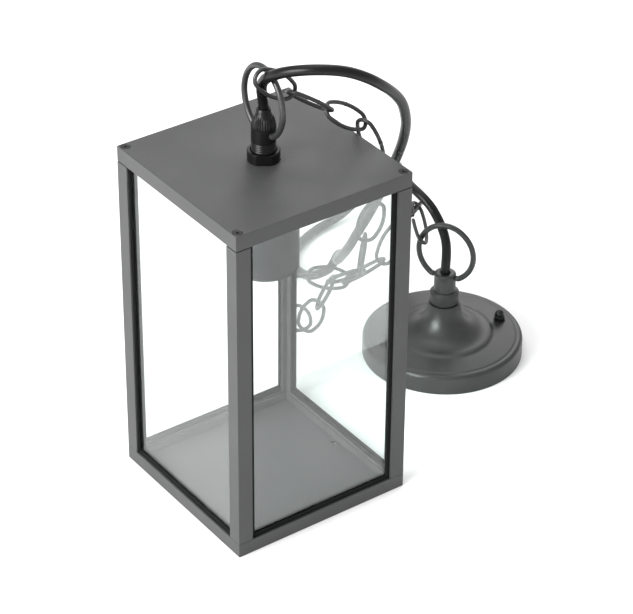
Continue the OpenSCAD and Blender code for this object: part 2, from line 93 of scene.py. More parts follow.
def soften(bm: BMesh, width: float, segments: int = 2, over_deg: float = 30.0) -> None:
    """Round every edge that turns more than an angle.

    Args:
        bm: The mesh to change.
        width: Width of the rounding.
        segments: Number of faces across it.
        over_deg: Smallest turn that is rounded.
    """
    bmesh.ops.remove_doubles(bm, verts=bm.verts, dist=1e-7)
    bmesh.ops.recalc_face_normals(bm, faces=bm.faces)
    limit = math.radians(over_deg)
    edges = [e for e in bm.edges if e.is_manifold and e.calc_face_angle(0.0) > limit]
    bmesh.ops.bevel(bm, geom=edges, offset=width, offset_type="OFFSET", affect="EDGES",
                    segments=segments, profile=0.5, material=-1, clamp_overlap=True)


def add_block(bm: BMesh, low: Vector, high: Vector, edge: float = 0.3 * MM,
              matrix: Matrix | None = None) -> None:
    """Add a box with rounded edges.

    Args:
        bm: The mesh to add to.
        low: Lowest corner.
        high: Highest corner.
        edge: Width of the edge rounding.
        matrix: Turns and moves the finished box.
    """
    part = bmesh.new()
    bmesh.ops.create_cube(part, size=1.0)
    bmesh.ops.scale(part, vec=high - low, verts=part.verts)
    bmesh.ops.translate(part, vec=(low + high) / 2, verts=part.verts)
    soften(part, edge)
    merge_into(bm, part, matrix or Matrix.Identity(4))


def merge_into(bm: BMesh, part: BMesh, matrix: Matrix) -> None:
    """Move a part's mesh by a matrix and copy it into another; the part is freed."""
    part.transform(matrix)
    bmesh.ops.recalc_face_normals(part, faces=part.faces)
    loose = bpy.data.meshes.new("part")
    part.to_mesh(loose)
    part.free()
    bm.from_mesh(loose)
    bpy.data.meshes.remove(loose)


def add_ring(bm: BMesh, outline: Outline, closed: bool = False, steps: int = 96,
             matrix: Matrix | None = None, edge: float = 0.0) -> None:
    """Turn an outline of (radius, height) points about the Z axis.

    Args:
        bm: The mesh to add to.
        outline: The points, in metres.
        closed: Whether the last point joins the first.
        steps: Number of faces round.
        matrix: Places the finished ring.
        edge: Width of the edge rounding, if any.
    """
    part = bmesh.new()
    verts = [part.verts.new((r, 0.0, z)) for r, z in outline]
    pairs = list(zip(verts, verts[1:])) + ([(verts[-1], verts[0])] if closed else [])
    edges = [part.edges.new(pair) for pair in pairs]
    bmesh.ops.spin(part, geom=verts + edges, cent=(0, 0, 0), axis=(0, 0, 1), dvec=(0, 0, 0),
                   angle=math.tau, steps=steps, use_merge=True, use_duplicate=False)
    bmesh.ops.remove_doubles(part, verts=part.verts, dist=1e-6)
    if edge:
        soften(part, edge)
    merge_into(bm, part, matrix or Matrix.Identity(4))


def add_square_ring(bm: BMesh, outline: Outline, half: float, edge: float = 0.4 * MM,
                    closed: bool = True) -> None:
    """Sweep an outline of (inset, height) points round a square, with mitred corners.

    Args:
        bm: The mesh to add to.
        outline: The points; inset is measured inwards from the square's side.
        half: Half the square's width.
        edge: Width of the edge rounding.
        closed: Whether the last point joins the first.
    """
    part = bmesh.new()
    verts = [part.verts.new((inset - half, inset - half, z)) for inset, z in outline]
    pairs = list(zip(verts, verts[1:])) + ([(verts[-1], verts[0])] if closed else [])
    edges = [part.edges.new(pair) for pair in pairs]
    bmesh.ops.spin(part, geom=verts + edges, cent=(0, 0, 0), axis=(0, 0, 1), dvec=(0, 0, 0),
                   angle=math.tau, steps=4, use_merge=True, use_duplicate=False)
    bmesh.ops.remove_doubles(part, verts=part.verts, dist=1e-6)
    soften(part, edge)
    merge_into(bm, part, Matrix.Identity(4))


def add_bar(bm: BMesh, outline: Outline, z0: float, z1: float, edge: float,
            matrix: Matrix | None = None) -> None:
    """Push a flat outline of (x, y) points up into a bar with rounded edges."""
    part = bmesh.new()
    base = part.faces.new([part.verts.new((x, y, z0)) for x, y in outline])
    pushed = bmesh.ops.extrude_face_region(part, geom=[base])["geom"]
    top = [v for v in pushed if isinstance(v, BMVert)]
    bmesh.ops.translate(part, vec=(0, 0, z1 - z0), verts=top)
    soften(part, edge)
    merge_into(bm, part, matrix or Matrix.Identity(4))


def carve(piece: bpy.types.Object, cutter: bpy.types.Object, sharp_deg: float = 32.0,
          crossed: bool = False) -> None:
    """Cut one object out of another for good, and remove the cutter.

    Args:
        piece: The object that is cut.
        cutter: The object that is taken away.
        sharp_deg: Edges that turn more than this stay sharp.
        crossed: Whether parts of the cutter run through each other.
    """
    cut = piece.modifiers.new("cut", "BOOLEAN")
    cut.operation, cut.solver, cut.object = "DIFFERENCE", "EXACT", cutter
    cut.use_self = crossed
    evaluated = piece.evaluated_get(bpy.context.evaluated_depsgraph_get())
    mesh = bpy.data.meshes.new_from_object(evaluated)
    piece.modifiers.clear()
    old, piece.data = piece.data, mesh
    bpy.data.meshes.remove(old)
    for face in mesh.polygons:
        face.use_smooth = True
    mesh.set_sharp_from_angle(angle=math.radians(sharp_deg))
    spare = cutter.data
    bpy.data.objects.remove(cutter)
    bpy.data.meshes.remove(spare)


def quarter_turns() -> list[Matrix]:
    """The four quarter turns about the Z axis."""
    return [Matrix.Rotation(math.radians(a), 4, "Z") for a in (0, 90, 180, 270)]


def round_corner(centre: tuple[float, float], radius: float, start_deg: float, end_deg: float,
                 count: int = 5) -> list[tuple[float, float]]:
    """Points along a circular corner, from one angle to another."""
    angles = [math.radians(start_deg + (end_deg - start_deg) * i / (count - 1))
              for i in range(count)]
    return [(centre[0] + radius * math.cos(a), centre[1] + radius * math.sin(a))
            for a in angles]


def add_rod(bm: bmesh.types.BMesh, radius: float, depth: float, matrix: Matrix) -> None:
    """Add a closed rod of 32 sides, centred on its matrix."""
    bmesh.ops.create_cone(bm, cap_ends=True, segments=32, radius1=radius, radius2=radius,
                          depth=depth, matrix=matrix)


# ------------------------------------------------------------------ materials


class Coordinates(Enum):
    """The coordinates that a pattern follows."""

    OBJECT = "Object"
    UV = "UV"


class NodeKit:
    """Short calls for making shader nodes in one tree."""

    def __init__(self, tree: bpy.types.NodeTree) -> None:
        """Keep the tree that nodes are added to."""
        self.tree = tree

    def add(self, kind: str, **values: object) -> bpy.types.Node:
        """Make a node, and set its properties and unlinked inputs.

        Args:
            kind: The node's type name.
            values: Properties by name, or inputs by name with spaces as underscores.

        Returns:
            The new node.
        """
        node = self.tree.nodes.new(kind)
        for key, value in values.items():
            if hasattr(node, key):
                setattr(node, key, value)
            else:
                node.inputs[key.replace("_", " ")].default_value = value
        return node

    def link(self, out: bpy.types.NodeSocket, into: bpy.types.NodeSocket) -> None:
        """Join two sockets."""
        self.tree.links.new(out, into)


def make_group(name: str, inputs: dict[str, float], outputs: dict[str, str],
               fill: Callable[[NodeKit, bpy.types.Node, bpy.types.Node], None]
               ) -> bpy.types.NodeTree:
    """Build a shader node group once.

    Args:
        name: The group's name.
        inputs: Number inputs and their usual values; a vector input is added first.
        outputs: Output names and socket types.
        fill: Builds the nodes between the group's input and output.

    Returns:
        The group.
    """
    tree = bpy.data.node_groups.new(name, "ShaderNodeTree")
    tree.interface.new_socket(name="Vector", in_out="INPUT", socket_type="NodeSocketVector")
    for key, value in inputs.items():
        socket = tree.interface.new_socket(name=key, in_out="INPUT",
                                           socket_type="NodeSocketFloat")
        socket.default_value = value
    for key, kind in outputs.items():
        tree.interface.new_socket(name=key, in_out="OUTPUT", socket_type=kind)
    kit = NodeKit(tree)
    fill(kit, kit.add("NodeGroupInput"), kit.add("NodeGroupOutput"))
    return tree


def fill_grain(kit: NodeKit, given: bpy.types.Node, result: bpy.types.Node) -> None:
    """Fine orange-peel grain: a height, and a soft mask of slow change."""
    fine = kit.add("ShaderNodeTexNoise", Detail=3.0, Roughness=0.6)
    kit.link(given.outputs["Vector"], fine.inputs["Vector"])
    kit.link(given.outputs["Fine scale"], fine.inputs["Scale"])
    cells = kit.add("ShaderNodeTexVoronoi", feature="SMOOTH_F1", Smoothness=0.8)
    kit.link(given.outputs["Vector"], cells.inputs["Vector"])
    kit.link(given.outputs["Fine scale"], cells.inputs["Scale"])
    both = kit.add("ShaderNodeMath", operation="ADD")
    kit.link(fine.outputs["Fac"], both.inputs[0])
    kit.link(cells.outputs["Distance"], both.inputs[1])
    kit.link(both.outputs[0], result.inputs["Height"])
    slow = kit.add("ShaderNodeTexNoise", Detail=2.0, Roughness=0.5)
    kit.link(given.outputs["Vector"], slow.inputs["Vector"])
    kit.link(given.outputs["Slow scale"], slow.inputs["Scale"])
    kit.link(slow.outputs["Fac"], result.inputs["Mottle"])


def fill_scuffs(kit: NodeKit, given: bpy.types.Node, result: bpy.types.Node) -> None:
    """Sparse thin rubs and dust, as a mask from 0 to 1."""
    warp = kit.add("ShaderNodeTexNoise", Detail=2.0)
    kit.link(given.outputs["Vector"], warp.inputs["Vector"])
    kit.link(given.outputs["Scale"], warp.inputs["Scale"])
    streak = kit.add("ShaderNodeTexNoise", Detail=5.0, Roughness=0.7, Distortion=1.2)
    kit.link(given.outputs["Vector"], streak.inputs["Vector"])
    finer = kit.add("ShaderNodeMath", operation="MULTIPLY")
    finer.inputs[1].default_value = 7.0
    kit.link(given.outputs["Scale"], finer.inputs[0])
    kit.link(finer.outputs[0], streak.inputs["Scale"])
    product = kit.add("ShaderNodeMath", operation="MULTIPLY")
    kit.link(warp.outputs["Fac"], product.inputs[0])
    kit.link(streak.outputs["Fac"], product.inputs[1])
    mask = kit.add("ShaderNodeMapRange", interpolation_type="SMOOTHSTEP")
    mask.inputs["From Min"].default_value = 0.30
    mask.inputs["From Max"].default_value = 0.46
    kit.link(product.outputs[0], mask.inputs["Value"])
    kit.link(mask.outputs["Result"], result.inputs["Mask"])


@dataclass(frozen=True)
class Surface:
    """A finish: colours, gloss and the grain that breaks them up."""

    name: str
    colour: tuple[float, float, float]
    second: tuple[float, float, float]
    roughness: float
    rough_change: float = 0.08
    fine_scale: float = 1400.0
    slow_scale: float = 18.0
    bump: float = 0.05
    bump_depth: float = 0.00005
    scuff: float = 0.0
    scuff_colour: tuple[float, float, float] = (0.3, 0.3, 0.3)
    metallic: float = 0.0
    coat: float = 0.0
    coat_roughness: float = 0.2
    specular: float = 0.5
    stretch: tuple[float, float, float] = (1.0, 1.0, 1.0)
    follows: Coordinates = Coordinates.OBJECT

    def build(self, groups: "Groups") -> bpy.types.Material:
        """Make the material.

        Args:
            groups: The shared node groups.

        Returns:
            The material, with every node in place.
        """
        material = bpy.data.materials.new(self.name)
        material.use_nodes = True
        kit = NodeKit(material.node_tree)
        shader = material.node_tree.nodes["Principled BSDF"]
        shader.inputs["Metallic"].default_value = self.metallic
        shader.inputs["Coat Weight"].default_value = self.coat
        shader.inputs["Coat Roughness"].default_value = self.coat_roughness
        shader.inputs["Specular IOR Level"].default_value = self.specular
        place = kit.add("ShaderNodeTexCoord")
        mapping = kit.add("ShaderNodeMapping")
        mapping.inputs["Scale"].default_value = self.stretch
        kit.link(place.outputs[self.follows.value], mapping.inputs["Vector"])
        grain = kit.add("ShaderNodeGroup", node_tree=groups.grain)
        grain.inputs["Fine scale"].default_value = self.fine_scale
        grain.inputs["Slow scale"].default_value = self.slow_scale
        kit.link(mapping.outputs["Vector"], grain.inputs["Vector"])
        scuffs = kit.add("ShaderNodeGroup", node_tree=groups.scuffs)
        scuffs.inputs["Scale"].default_value = self.slow_scale * 1.7
        kit.link(place.outputs["Object"], scuffs.inputs["Vector"])
        tone = kit.add("ShaderNodeMix", data_type="RGBA")
        tone.inputs[6].default_value = (*self.colour, 1.0)
        tone.inputs[7].default_value = (*self.second, 1.0)
        kit.link(grain.outputs["Mottle"], tone.inputs[0])
        worn = kit.add("ShaderNodeMix", data_type="RGBA")
        worn.inputs[7].default_value = (*self.scuff_colour, 1.0)
        kit.link(tone.outputs[2], worn.inputs[6])
        amount = kit.add("ShaderNodeMath", operation="MULTIPLY")
        amount.inputs[1].default_value = self.scuff
        kit.link(scuffs.outputs["Mask"], amount.inputs[0])
        kit.link(amount.outputs[0], worn.inputs[0])
        kit.link(worn.outputs[2], shader.inputs["Base Color"])
        rough = kit.add("ShaderNodeMapRange")
        rough.inputs["From Min"].default_value = 0.3
        rough.inputs["From Max"].default_value = 0.7
        rough.inputs["To Min"].default_value = self.roughness - self.rough_change
        rough.inputs["To Max"].default_value = self.roughness + self.rough_change
        kit.link(grain.outputs["Mottle"], rough.inputs["Value"])
        kit.link(rough.outputs["Result"], shader.inputs["Roughness"])
        bump = kit.add("ShaderNodeBump", Strength=self.bump, Distance=self.bump_depth)
        kit.link(grain.outputs["Height"], bump.inputs["Height"])
        kit.link(bump.outputs["Normal"], shader.inputs["Normal"])
        return material


@dataclass(frozen=True)
class ClearGlass:
    """Clear float glass with the faintest green, and a few soft smears."""

    name: str = "clear_glass"
    colour: tuple[float, float, float] = (0.93, 0.965, 0.955)
    roughness: float = 0.0
    smear: float = 0.035

    def build(self, groups: "Groups") -> bpy.types.Material:
        """Make the material: glass to the eye, clear to the light that casts shadows."""
        material = bpy.data.materials.new(self.name)
        material.use_nodes = True
        tree = material.node_tree
        kit = NodeKit(tree)
        shader = tree.nodes["Principled BSDF"]
        shader.inputs["Base Color"].default_value = (*self.colour, 1.0)
        shader.inputs["Transmission Weight"].default_value = 1.0
        shader.inputs["IOR"].default_value = 1.5
        place = kit.add("ShaderNodeTexCoord")
        scuffs = kit.add("ShaderNodeGroup", node_tree=groups.scuffs)
        scuffs.inputs["Scale"].default_value = 14.0
        kit.link(place.outputs["Object"], scuffs.inputs["Vector"])
        rough = kit.add("ShaderNodeMapRange")
        rough.inputs["To Min"].default_value = self.roughness
        rough.inputs["To Max"].default_value = self.roughness + self.smear
        kit.link(scuffs.outputs["Mask"], rough.inputs["Value"])
        kit.link(rough.outputs["Result"], shader.inputs["Roughness"])
        clear = kit.add("ShaderNodeBsdfTransparent", Color=(0.9, 0.93, 0.92, 1.0))
        light = kit.add("ShaderNodeLightPath")
        mix = kit.add("ShaderNodeMixShader")
        kit.link(light.outputs["Is Shadow Ray"], mix.inputs[0])
        kit.link(shader.outputs["BSDF"], mix.inputs[1])
        kit.link(clear.outputs["BSDF"], mix.inputs[2])
        kit.link(mix.outputs["Shader"], tree.nodes["Material Output"].inputs["Surface"])
        return material


class Groups:
    """The node groups that the finishes share."""

    def __init__(self) -> None:
        """Build each group once."""
        self.grain = make_group("fine_grain", {"Fine scale": 1400.0, "Slow scale": 18.0},
                                {"Height": "NodeSocketFloat", "Mottle": "NodeSocketFloat"},
                                fill_grain)
        self.scuffs = make_group("scuffs_and_dust", {"Scale": 30.0},
                                 {"Mask": "NodeSocketFloat"}, fill_scuffs)


def grey(level: float) -> tuple[float, float, float]:
    """A neutral colour."""
    return (level, level, level)


FINISHES: dict[str, Surface | ClearGlass] = {
    "case_paint": Surface(
        "case_powder_coat", (0.036, 0.0365, 0.037), (0.05, 0.0505, 0.051), 0.5,
        fine_scale=1000.0, bump=0.6, bump_depth=0.0001, scuff=0.05, scuff_colour=grey(0.2)),
    "cup_paint": Surface(
        "cup_satin_paint", (0.012, 0.014, 0.015), (0.018, 0.02, 0.021), 0.5,
        specular=0.35, fine_scale=1200.0, bump=0.2, scuff=0.05),
    "glass": ClearGlass(),
    "gasket_rubber": Surface(
        "glazing_rubber", grey(0.004), grey(0.008), 0.75,
        specular=0.15, fine_scale=900.0, bump=0.3, scuff=0.08, scuff_colour=grey(0.03)),
    "black_steel": Surface(
        "blackened_steel", grey(0.003), grey(0.006), 0.38,
        specular=0.3, fine_scale=1800.0, bump=0.15, scuff=0.25, scuff_colour=grey(0.1)),
    "gland_plastic": Surface(
        "moulded_black_plastic", grey(0.003), grey(0.006), 0.3,
        specular=0.22, fine_scale=1100.0, bump=0.25, scuff=0.12, scuff_colour=grey(0.08)),
    "cord_sheath": Surface(
        "cord_sheath", grey(0.003), grey(0.006), 0.3,
        specular=0.22, fine_scale=700.0, bump=0.3, scuff=0.15, scuff_colour=grey(0.06)),
    "chain_paint": Surface(
        "chain_graphite_paint", (0.016, 0.0163, 0.0166), (0.026, 0.0263, 0.0266), 0.34,
        fine_scale=1300.0, bump=0.2, scuff=0.3, scuff_colour=grey(0.25)),
    "rose_paint": Surface(
        "rose_satin_paint", (0.013, 0.0131, 0.0133), (0.02, 0.0201, 0.0203), 0.4,
        fine_scale=1500.0, bump=0.25, bump_depth=0.00005, scuff=0.08, scuff_colour=grey(0.16)),
    "brass": Surface(
        "turned_brass", (0.62, 0.43, 0.16), (0.7, 0.5, 0.22), 0.28,
        metallic=1.0, fine_scale=500.0, bump=0.1, scuff=0.3, scuff_colour=(0.35, 0.23, 0.1)),
    "ceramic": Surface(
        "glazed_ceramic", (0.72, 0.69, 0.62), (0.8, 0.77, 0.71), 0.22,
        coat=0.6, fine_scale=300.0, bump=0.05, scuff=0.08, scuff_colour=(0.4, 0.36, 0.3)),
    "zinc_steel": Surface(
        "zinc_plated_steel", (0.5, 0.51, 0.52), (0.6, 0.61, 0.62), 0.34,
        metallic=1.0, fine_scale=900.0, stretch=(1.0, 6.0, 1.0), bump=0.2, scuff=0.25,
        scuff_colour=(0.36, 0.35, 0.33)),
    "nylon": Surface(
        "natural_nylon", (0.72, 0.7, 0.64), (0.8, 0.78, 0.73), 0.5,
        fine_scale=800.0, bump=0.15, scuff=0.1),
    "core_insulation": Surface(
        "core_insulation", (0.12, 0.17, 0.26), (0.16, 0.21, 0.3), 0.45,
        fine_scale=900.0, bump=0.15, scuff=0.05),
}


class Wardrobe:
    """Every finish as a material, and the calls that dress pieces with them."""

    def __init__(self) -> None:
        """Build the groups and the materials."""
        groups = Groups()
        self.materials = {slot: finish.build(groups) for slot, finish in FINISHES.items()}
        self.slots = {p["node"]: p["material_slot"] for p in frame["record"]["subparts"]}

    def dress(self, piece: bpy.types.Object, nodes: Sequence[str],
              body: str) -> bpy.types.Object:
        """Give a piece the finish of the CAD nodes that it stands for, and its body.

        Args:
            piece: The new piece.
            nodes: The CAD nodes that it replaces.
            body: The body that it rides on.

        Returns:
            The piece.
        """
        slot = self.slots[nodes[0]]
        piece.data.materials.clear()
        piece.data.materials.append(self.materials[slot])
        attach(piece, body)
        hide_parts(*nodes)
        LOG.info("%s stands for %s on %s", piece.name, ", ".join(nodes), body)
        return piece

    def dress_rest(self) -> None:
        """Give each CAD node that stays in view its finish."""
        for name, node in frame["nodes"].items():
            if not node.hide_render:
                node.data.materials.clear()
                node.data.materials.append(self.materials[self.slots[name]])
                LOG.info("%s keeps its CAD shape", name)


# ------------------------------------------------------------------ camera, light and cord


@dataclass
class Studio:
    """Camera, floor and lights."""

    camera_at: Vector = field(default_factory=lambda: Vector((-0.97219, -1.40146, 1.29721)))
    heading: Vector = field(default_factory=lambda: Vector((0.49043, 0.67217, -0.55468)))
    across: Vector = field(default_factory=lambda: Vector((0.81077, -0.58531, 0.00757)))
    lens: float = 149.6
    floor_size: float = 12.0

    def add_camera(self) -> None:
        """Place the camera."""
        data = bpy.data.cameras.new("camera")
        data.lens, data.sensor_width, data.sensor_fit = self.lens, 36.0, "HORIZONTAL"
        data.clip_start, data.clip_end = 0.05, 50.0
        camera = bpy.data.objects.new("camera", data)
        forward = self.heading.normalized()
        right = (self.across - forward * self.across.dot(forward)).normalized()
        up = right.cross(forward)
        turn = Matrix((right, up, -forward)).transposed().to_4x4()
        camera.matrix_world = Matrix.Translation(self.camera_at) @ turn
        bpy.context.scene.collection.objects.link(camera)
        bpy.context.scene.camera = camera

    def add_area(self, name: str, at: Vector, aim: Vector, size: float, power: float) -> None:
        """Add a square soft light that faces a point."""
        data = bpy.data.lights.new(name, "AREA")
        data.size, data.energy = size, power
        lamp = bpy.data.objects.new(name, data)
        lamp.location = at
        lamp.rotation_mode = "QUATERNION"
        lamp.rotation_quaternion = (aim - at).to_track_quat("-Z", "Y")
        bpy.context.scene.collection.objects.link(lamp)

    def add_floor(self) -> None:
        """Lay a plain white floor and light the room evenly."""
        bm = bmesh.new()
        bmesh.ops.create_grid(bm, x_segments=1, y_segments=1, size=self.floor_size / 2)
        floor = finish_piece(bm, "floor")
        floor.location.z = -0.0002
        material = bpy.data.materials.new("studio_floor")
        material.use_nodes = True
        shader = material.node_tree.nodes["Principled BSDF"]
        shader.inputs["Base Color"].default_value = (0.93, 0.93, 0.93, 1.0)
        shader.inputs["Roughness"].default_value = 0.8
        shader.inputs["Specular IOR Level"].default_value = 0.1
        floor.data.materials.append(material)
        world = bpy.data.worlds.new("studio")
        world.use_nodes = True
        world.node_tree.nodes["Background"].inputs["Color"].default_value = (1.0, 1.0, 1.0, 1.0)
        world.node_tree.nodes["Background"].inputs["Strength"].default_value = 0.75
        bpy.context.scene.world = world
        bpy.context.scene.view_settings.view_transform = "Standard"

    def build(self) -> None:
        """Add the camera, the floor and the lights."""
        self.add_camera()
        self.add_floor()
        aim = Vector((0.08, 0.02, 0.15))
        self.add_area("key_left", Vector((-2.4, -0.2, 1.2)), aim, 1.6, 125.0)
        self.add_area("top", Vector((0.2, 0.6, 2.6)), aim, 2.0, 22.0)
        self.add_area("back_right", Vector((1.8, 1.6, 1.5)), aim, 1.4, 14.0)


@dataclass
class Cord:
    """The round cord from the gland to the ceiling rose."""

    diameter: float = 8.2 * MM
    route: tuple[tuple[float, float, float], ...] = (
        (0.000, 0.000, 0.338), (-0.0065, -0.008, 0.364), (-0.007, -0.03, 0.382),
        (0.007, -0.051, 0.390), (0.029, -0.063, 0.387), (0.054, -0.065, 0.372),
        (0.088, -0.051, 0.340), (0.104, -0.039, 0.312), (0.113, -0.025, 0.285),
        (0.119, -0.009, 0.258), (0.124, 0.008, 0.231), (0.128, 0.024, 0.204),
        (0.132, 0.041, 0.178), (0.135, 0.059, 0.151), (0.140, 0.077, 0.126),
        (0.148, 0.098, 0.103), (0.160, 0.120, 0.083), (0.179, 0.142, 0.070),
        (0.193, 0.164, 0.053), (0.196, 0.181, 0.028), (0.191, 0.206, 0.010),
        (0.196, 0.234, 0.005), (0.217, 0.257, 0.005), (0.245, 0.270, 0.005),
        (0.276, 0.274, 0.008), (0.301, 0.270, 0.025), (0.315, 0.258, 0.045),
        (0.315, 0.242, 0.063), (0.305, 0.225, 0.075), (0.288, 0.206, 0.090),
        (0.269, 0.186, 0.106), (0.249, 0.163, 0.123), (0.233, 0.136, 0.138),
        (0.225, 0.106, 0.141), (0.227, 0.077, 0.131), (0.228, 0.059, 0.109),
        (0.226, 0.055, 0.079))

    def tangents(self, points: list[Vector], marks: list[float]) -> list[Vector]:
        """Direction of the route at each point; both ends stand upright."""
        inner = [(points[i + 1] - points[i - 1]) / (marks[i + 1] - marks[i - 1])
                 for i in range(1, len(points) - 1)]
        return [Vector((0, 0, 1)), *inner, Vector((0, 0, -1))]

    def build(self, wardrobe: Wardrobe) -> bpy.types.Object:
        """Lay the cord as one smooth round curve.

        Args:
            wardrobe: Gives the cord its finish.

        Returns:
            The cord.
        """
        points = [Vector(p) for p in self.route]
        marks = [0.0]
        for a, b in zip(points, points[1:]):
            marks.append(marks[-1] + (b - a).length)
        slopes = self.tangents(points, marks)
        curve = bpy.data.curves.new("supply_cord_sheath", "CURVE")
        curve.dimensions, curve.resolution_u, curve.render_resolution_u = "3D", 10, 10
        curve.bevel_depth, curve.bevel_resolution = self.diameter / 2, 5
        curve.use_fill_caps = True
        spline = curve.splines.new("BEZIER")
        spline.bezier_points.add(len(points) - 1)
        for i, knot in enumerate(spline.bezier_points):
            before = marks[i] - marks[max(i - 1, 0)]
            after = marks[min(i + 1, len(marks) - 1)] - marks[i]
            knot.handle_left_type = knot.handle_right_type = "FREE"
            knot.co = points[i]
            knot.handle_left = points[i] - slopes[i] * before / 3
            knot.handle_right = points[i] + slopes[i] * after / 3
        cord = bpy.data.objects.new("supply_cord_sheath", curve)
        bpy.context.scene.collection.objects.link(cord)
        wardrobe.dress(cord, ["supply_cord"], "roof")
        return cord


# ------------------------------------------------------------------ case


@dataclass
class Case:
    """The square glazed case: base, posts, glass, rubber and top frame."""

    half: float = 80 * MM
    rail_h: float = 12 * MM
    post_w: float = 13 * MM
    sheet: float = 2 * MM
    channel: float = 6 * MM
    block: float = 9.5 * MM
    lip: float = 14 * MM
    glass: float = 3 * MM
    rubber: float = 1.5 * MM
    rubber_show: float = 3 * MM
    port_in: float = 5 * MM
    port_r: float = 2.1 * MM
    edge: float = 0.45 * MM
    post_top: float = 280.6 * MM
    block_top: float = 292 * MM
    frame_z: tuple[float, float] = (283 * MM, 291.5 * MM)

    def base_frame(self) -> bpy.types.Object:
        """The rails of the base, mitred at the corners."""
        s, r, c = self.sheet, self.rail_h, self.sheet + self.channel
        bm = bmesh.new()
        seat = 7 * MM
        outline = [(0, 0), (11 * MM, 0), (11 * MM, s), (self.block, s), (self.block, r), (c, r),
                   (c, seat), (s, seat), (s, r), (0, r)]
        add_square_ring(bm, outline, self.half, self.edge)
        return finish_piece(bm, "base_rails")

    def post(self, turn: Matrix, name: str) -> bpy.types.Object:
        """One corner post: two outer legs, the glazing lips and the screw block."""
        s, c, b, w = self.sheet, self.sheet + self.channel, self.block, self.post_w
        gap = 0.02 * MM
        place = turn @ Matrix.Translation((-self.half, -self.half, 0))
        bm = bmesh.new()
        legs = [(0, 0), (w, 0), (w, s), (b, s), (b, c), (self.lip, c), (self.lip, b), (b, b),
                (b, self.lip), (c, self.lip), (c, b), (s, b), (s, w), (0, w)]
        add_bar(bm, legs, self.rail_h + gap, self.post_top, self.edge, place)
        post = finish_piece(bm, name)
        top = bmesh.new()
        add_block(top, Vector((s, s, self.post_top - 0.5 * MM)), Vector((b, b, self.block_top)),
                  0.3 * MM, place)
        block = finish_piece(top, name + "_block")
        hole = bmesh.new()
        port = Matrix.Translation((self.port_in, self.port_in, self.block_top))
        add_rod(hole, self.port_r, 24 * MM, place @ port)
        cutter = finish_piece(hole, "port")
        carve(block, cutter)
        join([post, block])
        return post

    def top_frame(self) -> bpy.types.Object:
        """The square ring that holds the tops of the panes."""
        z0, z1 = self.frame_z
        s = self.sheet
        slot = (s + self.rubber - 0.1 * MM, s + self.rubber + self.glass + 0.1 * MM)
        outline = [(s, z0), (slot[0], z0), (slot[0], z0 + 5.2 * MM), (slot[1], z0 + 5.2 * MM),
                   (slot[1], z0), (11.5 * MM, z0), (11.5 * MM, z1), (s, z1)]
        bm = bmesh.new()
        add_square_ring(bm, outline, self.half, 0.3 * MM)
        return finish_piece(bm, "glazing_head")

    def pane(self, turn: Matrix, name: str) -> bpy.types.Object:
        """One pane of glass with ground edges."""
        y = -self.half + self.sheet + self.rubber
        side = self.half - self.block - 0.5 * MM
        bm = bmesh.new()
        add_block(bm, Vector((-side, y, 8.5 * MM)), Vector((side, y + self.glass, 287 * MM)),
                  0.35 * MM, turn)
        return finish_piece(bm, name, 15.0)

    def gaskets(self) -> bpy.types.Object:
        """Rubber strips inside and outside the glass, at both sides and the foot."""
        bm = bmesh.new()
        outer = -self.half + self.sheet
        inner = -self.half + self.sheet + self.rubber + self.glass
        side = self.half - self.block - 0.05 * MM
        show = self.half - self.post_w - self.rubber_show
        foot, top = 7.05 * MM, self.frame_z[0]
        hidden = self.half - self.lip - 0.3 * MM
        for turn in quarter_turns():
            for y, show in ((outer + 0.05 * MM, show), (inner + 0.02 * MM, hidden)):
                y1 = y + self.rubber - 0.07 * MM
                for x0, x1 in ((-side, -show), (show, side)):
                    add_block(bm, Vector((x0, y, foot)), Vector((x1, y1, top)), 0.15 * MM, turn)
                low = Vector((-show - MM, y, foot))
                high = Vector((show + MM, y1, self.rail_h + self.rubber_show))
                add_block(bm, low, high, 0.15 * MM, turn)
        return finish_piece(bm, "glazing_strips")

    def build(self, wardrobe: Wardrobe) -> None:
        """Build and dress the case."""
        turns = quarter_turns()
        wardrobe.dress(flatten_shading(self.base_frame()), ["base_frame"], "cage")
        for turn, name in zip(turns, ("post_front", "post_right", "post_back", "post_left")):
            wardrobe.dress(flatten_shading(self.post(turn, name + "_profile")), [name], "cage")
        wardrobe.dress(flatten_shading(self.top_frame()), ["top_frame"], "cage")
        panes = ("pane_right_front", "pane_right_back", "pane_left_back", "pane_left_front")
        for turn, name in zip(turns, panes):
            wardrobe.dress(self.pane(turn, name + "_sheet"), [name], "cage")
        wardrobe.dress(flatten_shading(self.gaskets()), ["glazing_gaskets"], "cage")


def join(pieces: list[bpy.types.Object]) -> None:
    """Add the meshes of the later pieces to the first, and remove them."""
    first = pieces[0]
    bm = bmesh.new()
    bm.from_mesh(first.data)
    for extra in pieces[1:]:
        bm.from_mesh(extra.data)
    bm.to_mesh(first.data)
    bm.free()
    for extra in pieces[1:]:
        spare = extra.data
        bpy.data.objects.remove(extra)
        bpy.data.meshes.remove(spare)


